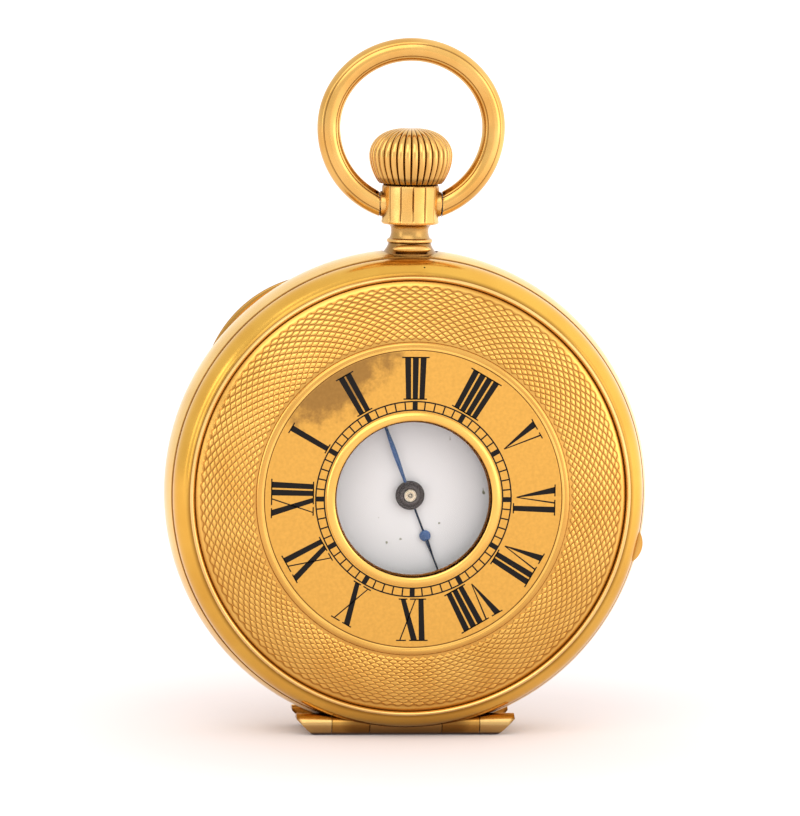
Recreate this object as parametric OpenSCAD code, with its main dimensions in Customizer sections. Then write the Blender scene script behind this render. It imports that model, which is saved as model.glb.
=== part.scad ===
// Half-hunter pocket watch with a front lid, a back lid and an inner dust cover.
// Everything round the dial is drawn in the watch's own frame: x to the right, y up to the
// crown, z forward through the dial. It is then stood upright with its lowest point at z = 0.

/* [Case] */
// Outer radius of the case band at its middle plane
case_r = 25; // [24.5:0.1:27]
// How far the case band bulges past the seams
band_bulge = 0.7; // [0.5:0.05:0.9]
// Distance from the middle plane to each lid seam
seam_f = 2.9; // [2.8:0.05:3.1]
// Open line left along each lid seam
seam_gap = 0.1; // [0.06:0.01:0.16]
// Height of the front collar over its seam
front_collar_h = 1.3; // [1.2:0.05:1.4]
// Height of the back collar over its seam
back_collar_h = 0.8; // [0.6:0.05:0.9]
// Thickness of the ledge that carries the movement
ledge_t = 0.8; // [0.6:0.1:1]

/* [Lids] */
// Thickness of the lid rims at the seam
lid_rim = 0.7; // [0.6:0.05:0.75]
// Thickness of the lid shells
lid_wall = 0.5; // [0.4:0.05:0.55]
// Radial gap between a lid rim and the collar inside it
lid_fit = 0.2; // [0.15:0.01:0.25]
// Width of the steep rim band, seen from the front
band_w = 1.3; // [1.2:0.05:1.4]
// Height of the steep rim band
band_h = 2.25; // [2.1:0.05:2.4]
// Width of the bead inside the rim band
bead_w = 0.6; // [0.5:0.05:0.7]
// Rise of the panel from its edge to the ridge
panel_rise = 2.05; // [1.8:0.05:2.1]
// Outer radius of the raised ridge round the chapter plate
ridge_r = 16.1; // [15.8:0.1:16.4]
// Width of that ridge
ridge_w = 0.7; // [0.5:0.05:0.8]
// Radius of the glazed window in the front lid
window_r = 8.2; // [7.8:0.1:8.6]
// Width of the window rim's flange
window_rim_w = 0.7; // [0.6:0.05:0.9]
// Height of the window rim over the chapter plate
window_rim_h = 0.35; // [0.3:0.05:0.5]
// Thickness of the window glass at its edge
window_glass_t = 0.35; // [0.25:0.05:0.4]
// Angle of the front lid's opening lip, from the right
front_lip_a = -12.8; // [-30:0.1:0]
// Half length of the front lid's opening lip
front_lip_w = 1.6; // [1:0.1:3]
// Angle of the back lid's opening lip, from the right
back_lip_a = 129.9; // [110:0.1:150]
// Half length of the back lid's opening lip
back_lip_w = 5.2; // [3:0.1:7]
// How far the lips stand out from the edges of their lids
lip_reach = 0.6; // [0.4:0.05:0.9]

/* [Hinges] */
// Radius of the hinge barrels
barrel_r = 1.1; // [1:0.05:1.15]
// Length of the hinge barrels
hinge_len = 22.6; // [20:0.2:24]
// Radius of the hinge pins
pin_r = 0.45; // [0.35:0.05:0.5]
// Room turned round a barrel in the piece that faces it
barrel_room = 0.15; // [0.1:0.01:0.2]
// Half width of the middle knuckle of the front hinge
front_mid = 3.7; // [3:0.1:4.5]
// Half width of the middle knuckle of the back hinge
back_mid = 1.5; // [1.2:0.1:2]
// Outer end of the dust cover's knuckles
cuvette_end = 4.1; // [3.6:0.1:4.6]
// Outer end of the lids' knuckles
lid_end = 7.7; // [7:0.1:8.4]
// Side gap between neighbouring knuckles
knuckle_gap = 0.08; // [0.05:0.01:0.12]

/* [Dust cover] */
// Radial step from the collar in to the dust cover's edge
cuvette_step = 0.3; // [0.2:0.05:0.4]
// Thickness of the dust cover
cuvette_t = 0.4; // [0.3:0.05:0.45]
// Rise of the dust cover from its edge to its middle
cuvette_rise = 0.95; // [0.7:0.05:1.1]

/* [Pendant, crown and bow] */
// Radius of the pendant's foot
foot_r = 2.9; // [2.7:0.05:2.95]
// Height of the pendant's seat over the case centre
foot_h = 24.2; // [24.1:0.05:24.3]
// Radius of the pendant's neck
neck_r = 1.93; // [1.8:0.01:2.2]
// Radius of the pendant's barrel
pendant_r = 2.95; // [2.8:0.05:3.05]
// Height of the pendant's top over the case centre
pendant_top = 31.75; // [31.4:0.05:32]
// Radius of the winding stem
stem_r = 0.75; // [0.6:0.05:0.8]
// Length of stem that reaches the movement, below the pendant's top
stem_len = 16.75; // [16.4:0.05:17]
// Open gap between pendant and crown, which the crown is pushed down into
crown_gap = 0.6; // [0.55:0.05:0.9]
// Widest radius of the crown
crown_r = 4.25; // [4:0.05:4.5]
// Radius of the crown's underside
crown_base_r = 3.1; // [2.8:0.05:3.4]
// Height of the crown
crown_h = 5.1; // [4.6:0.1:5.4]
// Height of the crown's widest ring
crown_waist = 1.85; // [1.5:0.05:2.2]
// Number of rounded ribs round the crown
crown_ribs = 34; // [28:1:38]
// Depth of the grooves between the ribs
rib_depth = 0.22; // [0.12:0.01:0.3]
// Thickness of the bow's wire
bow_wire = 2.4; // [2:0.1:2.6]
// Half width of the bow, at the middle of its wire
bow_half_w = 8.35; // [8.2:0.05:9]
// Angle below its widest place at which each end of the bow turns in to its pivot
bow_end_a = 62; // [60:1:64]
// Height of the bow's pivots over the case centre
pivot_h = 29.65; // [29.4:0.05:29.9]
// Height of the bow's widest place over its pivots
bow_waist_h = 7.45; // [7.2:0.05:7.7]
// Radius of the pivots inside the pendant
pivot_r = 0.55; // [0.4:0.05:0.6]

/* [Movement] */
// Radius of the main plate
plate_r = 21.15; // [21:0.05:21.4]
// Thickness of the main plate
plate_t = 1.5; // [1.4:0.1:1.6]
// Back face of the main plate, measured forward from the middle plane
plate_f = 0.6; // [0.55:0.05:0.7]
// Room for the motion work between main plate and dial
motion_gap = 0.8; // [0.8:0.05:0.9]
// Thickness of the enamel dial
dial_t = 0.5; // [0.4:0.05:0.55]
// Radius of the dial
dial_r = 21; // [20.8:0.05:21.1]
// Thickness of the dial glass
glass_t = 0.55; // [0.4:0.05:0.6]
// Rise of the dial glass at its middle
glass_rise = 1; // [0.9:0.05:1.1]
// Radius of the fine pivots
pivot_hole_r = 0.16; // [0.12:0.01:0.2]
// Radius of the bearing jewels
jewel_r = 0.6; // [0.5:0.05:0.7]
// Running clearance of pivots and arbors
run_gap = 0.03; // [0.02:0.01:0.05]
// Thickness of the hairspring ribbon
ribbon_t = 0.06; // [0.04:0.01:0.1]
// Width of the regulator's arm
regulator_w = 0.5; // [0.4:0.05:0.7]

/* [Wheels] */
// Tooth module of barrel, centre pinion and winding wheels
barrel_mod = 0.2; // [0.19:0.005:0.205]
// Tooth module of centre wheel and third pinion
center_mod = 0.16; // [0.155:0.005:0.165]
// Tooth module of third wheel and fourth pinion
third_mod = 0.14; // [0.135:0.005:0.145]
// Tooth module of fourth wheel and escape pinion
fourth_mod = 0.12; // [0.115:0.005:0.125]
// Tooth module of cannon pinion and minute wheel
cannon_mod = 0.17; // [0.165:0.005:0.175]
// Radius of the escape wheel
escape_r = 2.6; // [2.4:0.05:2.65]
// Outer radius of the balance rim
balance_r = 5.85; // [5.6:0.05:5.9]
// Direction of the minute hand, from the right
minute_a = 108.2; // [0:0.1:360]
// Direction of the hour hand, from the right
hour_a = -68.6; // [-180:0.1:180]
// Length of the minute hand
minute_len = 18.4; // [17.5:0.1:18.6]
// Length of the hour hand
hour_len = 12.6; // [11.5:0.1:14]

/* [Hidden] */
$fn = 96;
fine = 32;
eps = 0.01;
deep = 60;

// Case and lid radii and levels
seam_r = case_r - band_bulge;
skirt_r = seam_r - lid_rim;
collar_r = skirt_r - lid_fit;
lid_f = seam_f + seam_gap / 2;
front_collar_f = seam_f + front_collar_h;
back_collar_f = seam_f + back_collar_h;
band_top_r = seam_r - band_w;
band_top_f = lid_f + band_h;
bead_top_r = band_top_r - bead_w;
bead_top_f = band_top_f + 0.35;
panel_r = bead_top_r - 0.15;
panel_f = bead_top_f - 0.1;
ridge_f = panel_f + panel_rise;
plateau_f = ridge_f + 0.2;
plate_edge_r = ridge_r - ridge_w;
rim_out_r = window_r + window_rim_w;
rim_seat_r = window_r + window_rim_w / 2;
cartouche_r = rim_out_r + 0.1;
cartouche_f = plateau_f + window_rim_h;
lip_r = seam_r + lip_reach;

// Hinge line, level with the bottom of the case
hinge_y = -(case_r - barrel_r);
room_r = barrel_r + barrel_room;
cuvette_r = collar_r - cuvette_step;
cuvette_f = back_collar_f + seam_gap / 2;

// Movement seats and levels, measured forward from the middle plane
bore_r = plate_r + 0.1;
ledge_r = plate_r - 0.75;
back_bore_r = plate_r + 0.45;
ledge_f = plate_f + 0.4;
plate_top = plate_f + plate_t;
dial_f = plate_top + motion_gap;
dial_top = dial_f + dial_t;
glass_seat_f = front_collar_f + 0.1;
glass_edge_r = bore_r - 0.35;
bezel_in_r = glass_edge_r - 0.5;
pillar_in_r = 18.6;
pillar_out_r = 19.9;

// Places of the wheels, worked out from their teeth
barrel_teeth = 84;
center_pinion_teeth = 12;
center_teeth = 80;
third_pinion_teeth = 10;
third_teeth = 75;
fourth_pinion_teeth = 10;
fourth_teeth = 80;
escape_pinion_teeth = 8;
ratchet_teeth = 40;
crown_wheel_teeth = 38;
winding_pinion_teeth = 21;
cannon_teeth = 12;
minute_wheel_teeth = 36;
minute_pinion_teeth = 10;
hour_teeth = 40;

function polar(d, a) = [d * cos(a), d * sin(a)];
function spacing(n1, n2, m) = (n1 + n2) * m / 2;

barrel_at = polar(spacing(barrel_teeth, center_pinion_teeth, barrel_mod), 50);
third_a = 200;
third_at = polar(spacing(center_teeth, third_pinion_teeth, center_mod), third_a);
fourth_a = -60;
fourth_at = third_at + polar(spacing(third_teeth, fourth_pinion_teeth, third_mod), fourth_a);
escape_at = fourth_at + [spacing(fourth_teeth, escape_pinion_teeth, fourth_mod), 0];
balance_at = polar(11.57, -50.26);
to_balance = atan2(balance_at.y - escape_at.y, balance_at.x - escape_at.x);
fork_at = escape_at + polar(3, to_balance);
crown_wheel_d = spacing(ratchet_teeth, crown_wheel_teeth, barrel_mod);
crown_wheel_at = [0, barrel_at.y + sqrt(pow(crown_wheel_d, 2) - pow(barrel_at.x, 2))];
crown_wheel_a = atan2(crown_wheel_at.y - barrel_at.y, crown_wheel_at.x - barrel_at.x);
winding_y = crown_wheel_at.y + crown_wheel_teeth * barrel_mod / 2 + barrel_mod + 0.06;
minute_wheel_a = 190;
minute_wheel_at = polar(spacing(cannon_teeth, minute_wheel_teeth, cannon_mod), minute_wheel_a);
hour_mod = 2 * norm(minute_wheel_at) / (minute_pinion_teeth + hour_teeth);
click_at = barrel_at + polar(5.6, 20);
click_tip = barrel_at + polar(ratchet_teeth * barrel_mod / 2 + 0.42, 45);

// Levels of the wheels
drum_front = 0.4;
drum_teeth_t = 0.5;
drum_back = -1.1;
barrel_bridge_f = -1.3;
barrel_bridge_t = 0.65;
winding_f = -2;
winding_t = 0.4;
train_bridge_f = -1.9;
train_bridge_t = 0.7;
escape_bridge_f = -1.45;
escape_bridge_t = 0.45;
cock_f = -2.95;
cock_t = 0.65;

module watch() {
    translate([0, 0, case_r]) rotate([90, 0, 0]) children();
}

module back_side() {
    mirror([0, 0, 1]) children();
}

// Points of a round stretch from p to q that stands s proud of the straight line
function arc_between(p, q, s, n = 8) =
    let (c = norm(q - p))
    let (r = (c * c / 4 + s * s) / (2 * s))
    let (u = (q - p) / c)
    let (v = [u.y, -u.x])
    let (o = (p + q) / 2 - v * (r - s))
    let (a = asin(c / (2 * r)))
    [for (i = [0:n]) let (t = -a + 2 * a * i / n) o + r * (u * sin(t) + v * cos(t))];

function reversed(list) = [for (i = [len(list) - 1:-1:0]) list[i]];

// Angle that brings gear 2 into mesh with gear 1, seen along the line from 1 to 2
function mesh_angle(n1, a1, n2, line) = line + 180 - (n1 / n2) * (a1 - line) - 180 / n2;

center_pinion_phase = mesh_angle(barrel_teeth, 0, center_pinion_teeth, 50 + 180);
third_phase = mesh_angle(center_teeth, 0, third_pinion_teeth, third_a);
fourth_phase = mesh_angle(third_teeth, third_phase, fourth_pinion_teeth, fourth_a);
escape_phase = mesh_angle(fourth_teeth, fourth_phase, escape_pinion_teeth, 0);
crown_wheel_phase = mesh_angle(ratchet_teeth, 0, crown_wheel_teeth, crown_wheel_a);
minute_wheel_phase = mesh_angle(cannon_teeth, 0, minute_wheel_teeth, minute_wheel_a);
hour_phase = mesh_angle(minute_pinion_teeth, minute_wheel_phase, hour_teeth, minute_wheel_a + 180);

// Outline of a gear with slim straight-sided teeth, the first of them on the x axis
function gear_outline(n, m) =
    let (tip = m * (n / 2 + 0.8))
    let (root = m * (n / 2 - 1.1))
    let (pitch = 360 / n)
    [for (i = [0:n - 1], c = [[root, -0.3], [tip, -0.09], [tip, 0.09], [root, 0.3]])
        polar(c[0], pitch * (i + c[1]))];

module gear(n, m, t, bore = 0) {
    difference() {
        linear_extrude(t) polygon(gear_outline(n, m));
        if (bore > 0) translate([0, 0, -1]) cylinder(r = bore, h = t + 2, $fn = fine);
    }
}

// A wheel with its rim and hub joined by arms
module crossed_wheel(n, m, t, rim_in, hub, arms, arm_w) {
    difference() {
        linear_extrude(t) polygon(gear_outline(n, m));
        translate([0, 0, -1]) cylinder(r = rim_in, h = t + 2);
    }
    cylinder(r = hub, h = t);
    for (i = [0:arms - 1]) rotate(360 * i / arms)
        translate([0, -arm_w / 2, 0]) cube([rim_in + 0.1, arm_w, t]);
}

// A straight bar with round ends between two points
module bar(p, q, w, t) {
    a = atan2(q.y - p.y, q.x - p.x);
    for (e = [p, q]) translate([e.x, e.y, 0]) cylinder(d = w, h = t, $fn = fine);
    translate([p.x, p.y, 0]) rotate(a) translate([0, -w / 2, 0]) cube([norm(q - p), w, t]);
}

// A ring sector between two radii
module sector(r_in, r_out, a0, a1, t) {
    rotate(a0) rotate_extrude(angle = a1 - a0)
        translate([r_in, 0]) square([r_out - r_in, t]);
}

module at(p, f) {
    translate([p.x, p.y, f]) children();
}

// A barrel lying along the hinge line at seam level
module knuckle(x0, x1, r) {
    translate([x0, hinge_y, seam_f]) rotate([0, 90, 0]) cylinder(r = r, h = x1 - x0);
}

module both_sides() {
    children();
    mirror([1, 0, 0]) children();
}

// The full barrel, with its two ends cut on the slant as the round band falls away
module case_barrel() {
    difference() {
        knuckle(-hinge_len / 2, hinge_len / 2, barrel_r);
        both_sides() translate([hinge_len / 2 + 0.5, hinge_y + barrel_r, seam_f]) rotate(-45)
            translate([0, -4 * barrel_r, -2 * barrel_r]) cube([4 * barrel_r, 8 * barrel_r, 4 * barrel_r]);
    }
}

module case_outline() {
    edge_f = seam_f - seam_gap / 2;
    polygon(concat(
        [[back_bore_r, -back_collar_f], [collar_r, -back_collar_f], [collar_r, -edge_f]],
        arc_between([seam_r, -edge_f], [seam_r, edge_f], band_bulge, 13),
        [[collar_r, edge_f], [collar_r, front_collar_f], [bore_r, front_collar_f],
        [bore_r, ledge_f], [ledge_r, ledge_f], [ledge_r, ledge_f - ledge_t],
        [back_bore_r, ledge_f - ledge_t]]));
}

// Way for a case spring's finger: along the bore and then out over the seam
finger_w = 2.1;
finger_r = plate_r + 0.5;
nose_f = seam_f + 0.25;
nose_t = 0.5;
lock_finger_a = 80;
lift_finger_a = 253;

module spring_way() {
    w = finger_w + 0.3;
    way_in = ledge_r + 0.45;
    translate([way_in, -w / 2, -2.2]) cube([finger_r + 0.3 - way_in, w, nose_f + nose_t + 2.35]);
    translate([way_in, -w / 2, nose_f - 0.15]) cube([skirt_r - way_in, w, nose_t + 0.3]);
}

module case_middle() {
    color("goldenrod") watch() difference() {
        union() {
            rotate_extrude() case_outline();
            case_barrel();
            back_side() case_barrel();
        }
        both_sides() knuckle(front_mid, lid_end, room_r);
        back_side() both_sides() knuckle(back_mid, lid_end, room_r);
        knuckle(-hinge_len, hinge_len, pin_r + run_gap / 2);
        back_side() knuckle(-hinge_len, hinge_len, pin_r + run_gap / 2);
        rotate([-90, 0, 0]) cylinder(r = stem_r + 0.15, h = deep);
        translate([0, foot_h, 0]) rotate([-90, 0, 0]) cylinder(r = foot_r + run_gap, h = 4);
        rotate(lock_finger_a) spring_way();
        rotate(lift_finger_a) spring_way();
    }
}

// Outline of a lid shell, from the seam in to the given radius
module lid_outline(hole) {
    outer = concat(
        arc_between([seam_r, lid_f], [band_top_r + 0.06, band_top_f - 0.03], 0.28, 10),
        [[band_top_r, band_top_f - 0.12]],
        arc_between([band_top_r - 0.06, band_top_f + 0.02], [bead_top_r + 0.02, bead_top_f], 0.07, 4),
        [[bead_top_r, bead_top_f - 0.22], [panel_r + 0.02, bead_top_f - 0.22]],
        arc_between([panel_r, panel_f], [ridge_r, ridge_f], 0.4, 14),
        arc_between([ridge_r - 0.01, ridge_f + 0.02], [plate_edge_r + 0.03, plateau_f - 0.02], 0.15, 6),
        [[plate_edge_r, plateau_f], [hole, plateau_f]]);
    inner_f = plateau_f - lid_wall;
    inner = concat(
        [[skirt_r, lid_f], [skirt_r, band_top_f - 0.75], [bead_top_r + 0.05, bead_top_f - 0.22 - lid_wall]],
        arc_between([panel_r - 0.2, panel_f - lid_wall], [ridge_r, ridge_f - lid_wall], 0.38, 10),
        [[plate_edge_r, inner_f], [hole, inner_f]]);
    polygon(concat(outer, reversed(inner)));
}

// A crescent lip on the lid's rim to lift it by
module lip(a, half_w) {
    chord = sqrt(pow(seam_r, 2) - pow(half_w, 2));
    sagitta = lip_r - chord;
    arc_r = (pow(half_w, 2) + pow(sagitta, 2)) / (2 * sagitta);
    rotate(a) intersection() {
        translate([lip_r - arc_r, 0, lid_f]) cylinder(r = arc_r, h = 0.55);
        difference() {
            translate([seam_r - 2, -half_w * 2, lid_f]) cube([4, half_w * 4, 0.55]);
            translate([0, 0, lid_f - 1]) cylinder(r = seam_r - 0.3, h = 3);
        }
    }
}

module front_cover() {
    color("goldenrod") watch() difference() {
        union() {
            rotate_extrude() lid_outline(rim_seat_r);
            both_sides() knuckle(front_mid + knuckle_gap, lid_end - knuckle_gap, barrel_r);
            lip(front_lip_a, front_lip_w);
        }
        knuckle(-front_mid - eps, front_mid + eps, room_r);
        both_sides() knuckle(lid_end, hinge_len / 2 + 0.4, room_r);
        knuckle(-hinge_len, hinge_len, pin_r + run_gap);
    }
}

module back_cover() {
    color("goldenrod") watch() back_side() difference() {
        union() {
            rotate_extrude() lid_outline(0);
            translate([0, 0, plateau_f - lid_wall / 2]) cylinder(r = cartouche_r, h = cartouche_f - plateau_f + lid_wall / 2);
            both_sides() knuckle(cuvette_end + knuckle_gap, lid_end - knuckle_gap, barrel_r);
            lip(back_lip_a, back_lip_w);
        }
        knuckle(-cuvette_end - eps, cuvette_end + eps, room_r + run_gap);
        both_sides() knuckle(lid_end, hinge_len / 2 + 0.4, room_r);
        knuckle(-hinge_len, hinge_len, pin_r + run_gap);
    }
}

module window_rim() {
    color("gold") watch() rotate_extrude() polygon(concat(
        [[window_r - 0.25, plateau_f - lid_wall - 0.3], [rim_seat_r, plateau_f - lid_wall - 0.3],
        [rim_seat_r, plateau_f], [rim_out_r, plateau_f]],
        arc_between([rim_out_r, plateau_f + 0.05], [window_r + 0.12, plateau_f + window_rim_h], 0.12, 6),
        [[window_r, plateau_f + window_rim_h - 0.12], [window_r, plateau_f - lid_wall],
        [window_r - 0.25, plateau_f - lid_wall]]));
}

// Side view of a domed glass, from the middle out to its edge
module glass_outline(r, f, t, rise) {
    steps = 12;
    top = [for (i = [0:steps]) let (x = r * i / steps) [x, f + t + rise * (1 - pow(x / r, 2))]];
    under = [for (i = [0:steps]) let (x = r * i / steps) [x, f + rise * (1 - pow(x / r, 2))]];
    polygon(concat(top, reversed(under)));
}

module window_crystal() {
    color("lightcyan", 0.4) watch() rotate_extrude()
        glass_outline(window_r - 0.02, plateau_f - lid_wall + 0.01, window_glass_t, 0.25);
}

module cuvette() {
    edge_f = cuvette_f + 0.5;
    inner_r = back_bore_r - 0.2;
    color("darkgoldenrod") watch() back_side() difference() {
        union() {
            rotate_extrude() polygon(concat(
                [[inner_r, cuvette_f], [cuvette_r, cuvette_f], [cuvette_r, edge_f - 0.15]],
                arc_between([cuvette_r - 0.2, edge_f], [0, cuvette_f + cuvette_rise + cuvette_t], 0.25, 10),
                reversed(arc_between([inner_r, cuvette_f + 0.12], [0, cuvette_f + cuvette_rise], 0.25, 10))));
            both_sides() {
                knuckle(back_mid + knuckle_gap, cuvette_end - knuckle_gap, barrel_r);
                translate([back_mid + knuckle_gap, hinge_y, cuvette_f])
                    cube([cuvette_end - back_mid - 2 * knuckle_gap, 2, seam_f + barrel_r - cuvette_f]);
            }
        }
        both_sides() knuckle(cuvette_end, hinge_len / 2 + 0.4, room_r);
        knuckle(-back_mid - eps, back_mid + eps, room_r);
        knuckle(-hinge_len, hinge_len, pin_r + run_gap);
    }
}

module hinge_pin() {
    half = hinge_len / 2 - 1.5;
    knuckle(-half, half, pin_r);
}

module front_hinge_pin() {
    color("silver") watch() hinge_pin();
}

module back_hinge_pin() {
    color("silver") watch() back_side() hinge_pin();
}

// A curved steel strip inside the case with one finger that passes the front seam
module case_spring(a0, a1, finger_a) {
    strip_in = plate_r;
    strip_out = strip_in + 0.35;
    low = -1.6;
    top = ledge_f - ledge_t - 0.1;
    translate([0, 0, low]) sector(strip_in, strip_out, a0, a1, top - low);
    rotate(finger_a) {
        translate([strip_in, -finger_w / 2, top - 1]) cube([finger_r - strip_in, finger_w, nose_f + nose_t - top + 1]);
        translate([strip_in, -finger_w / 2, nose_f]) cube([skirt_r - 0.12 - strip_in, finger_w, nose_t]);
    }
}

module lift_spring() {
    color("steelblue") watch() case_spring(190, 256, lift_finger_a);
}

module lock_spring() {
    color("steelblue") watch() case_spring(18, 83, lock_finger_a);
}

module inner_bezel() {
    edge = front_collar_f;
    color("goldenrod") watch() rotate_extrude() polygon(
        [[bezel_in_r, dial_top + 0.05], [bore_r - 0.1, dial_top + 0.05], [bore_r - 0.1, edge],
        [bore_r + 1.35, edge], [bore_r + 1.3, edge + 0.3], [bore_r + 0.4, edge + 0.6],
        [glass_edge_r + 0.05, edge + 0.7], [glass_edge_r + 0.05, glass_seat_f], [bezel_in_r, glass_seat_f]]);
}

module dial_crystal() {
    color("lightcyan", 0.4) watch() rotate_extrude()
        glass_outline(glass_edge_r, glass_seat_f, glass_t, glass_rise);
}

// A slotted screw, its head from z = 0 up and its shank below
module slotted_screw(head_r, head_h, shank_r, shank_len) {
    difference() {
        cylinder(r = head_r, h = head_h, $fn = fine);
        translate([-head_r, -0.08, head_h * 0.5]) cube([2 * head_r, 0.16, head_h]);
    }
    translate([0, 0, -shank_len]) cylinder(r = shank_r, h = shank_len + eps, $fn = fine);
}

case_screw_r = 0.5;
case_screw_angles = [-12, 137];

module case_screws() {
    color("steelblue") watch() for (a = case_screw_angles) rotate(a)
        translate([plate_r - 1.55, 0, ledge_f - ledge_t - 0.05]) back_side()
            slotted_screw(1.1, 0.4, case_screw_r, plate_t + 0.2);
}

hour_pipe_r = 0.95;

module dial() {
    color("white") watch() difference() {
        union() {
            translate([0, 0, dial_f]) cylinder(r = dial_r, h = dial_t);
            for (a = dial_feet) rotate(a) translate([17.2, 0, plate_f + 0.3])
                cylinder(r = 0.4, h = dial_f - plate_f - 0.3 + eps, $fn = fine);
        }
        translate([0, 0, dial_f - 1]) cylinder(r = hour_pipe_r + 0.2, h = 3);
    }
}

dial_feet = [20, 150, 250];
arbor_r = 0.35;
center_arbor_r = 0.5;
drum_arbor_r = 0.6;

module main_plate() {
    color("khaki") watch() difference() {
        union() {
            translate([0, 0, ledge_f]) cylinder(r = plate_r, h = plate_top - ledge_f);
            translate([0, 0, plate_f]) cylinder(r = ledge_r - 0.1, h = ledge_f - plate_f + eps);
            translate([0, 0, plate_top - eps]) rotate_extrude()
                translate([plate_r - 1, 0]) square([1, motion_gap + eps]);
            at(minute_wheel_at, plate_top - eps) cylinder(r = minute_stud_r, h = motion_gap - 0.08, $fn = fine);
        }
        at([0, 0], -1) cylinder(r = center_arbor_r + run_gap, h = 4, $fn = fine);
        for (p = [third_at, fourth_at, escape_at, fork_at, balance_at])
            at(p, -1) cylinder(r = pivot_hole_r + run_gap, h = 4, $fn = fine);
        at(barrel_at, -1) cylinder(r = drum_arbor_r + run_gap, h = 4, $fn = fine);
        for (a = dial_feet) rotate(a) translate([17.2, 0, 0]) cylinder(r = 0.45, h = 4, $fn = fine);
        for (a = case_screw_angles) rotate(a) translate([plate_r - 1.55, 0, 0])
            cylinder(r = case_screw_r + run_gap, h = 4, $fn = fine);
        translate([0, pendant_top - stem_len - crown_gap - 0.1, 0]) rotate([-90, 0, 0])
            cylinder(r = stem_r + 0.15, h = deep);
        translate([-2.6, winding_y - 0.15, -1]) cube([5.2, 2.3, 4.5]);
        for (s = screw_places) at(s, -1) cylinder(r = 0.3 + run_gap, h = 4, $fn = fine);
    }
}

screw_places = [polar(19.25, 28), polar(19.25, 72), polar(19.25, 118), polar(19.25, 165),
    polar(19.25, 235), polar(19.1, -50.26), [2.2, -12.6]];
screw_levels = [barrel_bridge_f - barrel_bridge_t, barrel_bridge_f - barrel_bridge_t,
    barrel_bridge_f - barrel_bridge_t, train_bridge_f - train_bridge_t,
    train_bridge_f - train_bridge_t, cock_f - cock_t, escape_bridge_f - escape_bridge_t];

// Shank holes under one bridge, from its top down to the plate
module screw_holes(first, last) {
    for (i = [first:last]) at(screw_places[i], -5) cylinder(r = 0.3 + run_gap, h = 8, $fn = fine);
}

module jewel_seat(p, f) {
    at(p, f - 2) cylinder(r = jewel_r, h = 4, $fn = fine);
}

module barrel_bridge() {
    low = barrel_bridge_f - barrel_bridge_t;
    color("khaki") watch() difference() {
        union() {
            translate([0, 0, low]) sector(7.2, pillar_out_r, 12, 124, barrel_bridge_t);
            translate([0, 0, low]) sector(pillar_in_r, pillar_out_r, 12, 124, plate_f - low);
        }
        at(barrel_at, -5) cylinder(r = drum_arbor_r + 0.2 + run_gap, h = 8, $fn = fine);
        translate([-2.6, winding_y - 0.15, -5]) cube([5.2, 2.3, 8]);
        rotate([-90, 0, 0]) cylinder(r = stem_r + 0.15, h = deep);
        at(crown_wheel_at, -5) cylinder(r = 0.45 + run_gap, h = 8, $fn = fine);
        at(click_at, -5) cylinder(r = arbor_r + run_gap, h = 8, $fn = fine);
        at(click_spring_foot, -5) cylinder(r = 0.25 + run_gap, h = 8, $fn = fine);
        screw_holes(0, 2);
    }
}

module train_bridge() {
    low = train_bridge_f - train_bridge_t;
    color("khaki") watch() difference() {
        union() {
            translate([0, 0, low]) difference() {
                union() {
                    sector(2, pillar_out_r, 150, 244, train_bridge_t);
                    cylinder(r = 2.4, h = train_bridge_t);
                    at(fourth_at, 0) cylinder(r = 2.2, h = train_bridge_t);
                }
                at(balance_at, -1) cylinder(r = balance_r + 0.8, h = 4);
            }
            translate([0, 0, low]) sector(pillar_in_r - 2, pillar_out_r, 150, 244, plate_f - low);
        }
        at([0, 0], -5) cylinder(r = arbor_r + run_gap, h = 8, $fn = fine);
        jewel_seat(third_at, low);
        jewel_seat(fourth_at, low);
        screw_holes(3, 4);
    }
}

cock_a = atan2(balance_at.y, balance_at.x);

module balance_cock() {
    low = cock_f - cock_t;
    color("khaki") watch() difference() {
        union() {
            at(balance_at, low) cylinder(r = 3.1, h = cock_t);
            translate([0, 0, low]) rotate(cock_a) translate([norm(balance_at), -2.2, 0])
                cube([7.4, 4.4, cock_t]);
            translate([0, 0, low]) sector(pillar_in_r - 0.1, pillar_out_r, cock_a - 14, cock_a + 14, plate_f - low);
        }
        jewel_seat(balance_at, low);
        screw_holes(5, 5);
    }
}

module escapement_bridge() {
    low = escape_bridge_f - escape_bridge_t;
    foot = screw_places[6];
    color("khaki") watch() difference() {
        union() {
            translate([0, 0, low]) {
                bar(escape_at, foot, 1.7, escape_bridge_t);
                bar(fork_at, foot, 1.7, escape_bridge_t);
            }
            at(foot, low) cylinder(r = 1.2, h = plate_f - low, $fn = fine);
        }
        for (p = [escape_at, fork_at]) at(p, -5) cylinder(r = pivot_hole_r + run_gap, h = 8, $fn = fine);
        screw_holes(6, 6);
    }
}

module bridge_screws() {
    color("steelblue") watch() for (i = [0:len(screw_places) - 1])
        at(screw_places[i], screw_levels[i]) back_side()
            slotted_screw(i == 6 ? 0.6 : 0.62, i == 6 ? 0.12 : 0.3, 0.3, plate_f - screw_levels[i] + 1.2);
}

module jewel(p, f) {
    at(p, f) difference() {
        cylinder(r = jewel_r, h = 0.35, $fn = fine);
        translate([0, 0, -1]) cylinder(r = pivot_hole_r + run_gap, h = 3, $fn = fine);
    }
}

module bearing_jewels() {
    color("crimson") watch() {
        jewel(third_at, train_bridge_f - train_bridge_t);
        jewel(fourth_at, train_bridge_f - train_bridge_t);
        jewel(balance_at, cock_f - cock_t);
    }
}

drum_r = 7.4;
drum_wall = 0.3;
core_r = 1.2;

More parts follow.
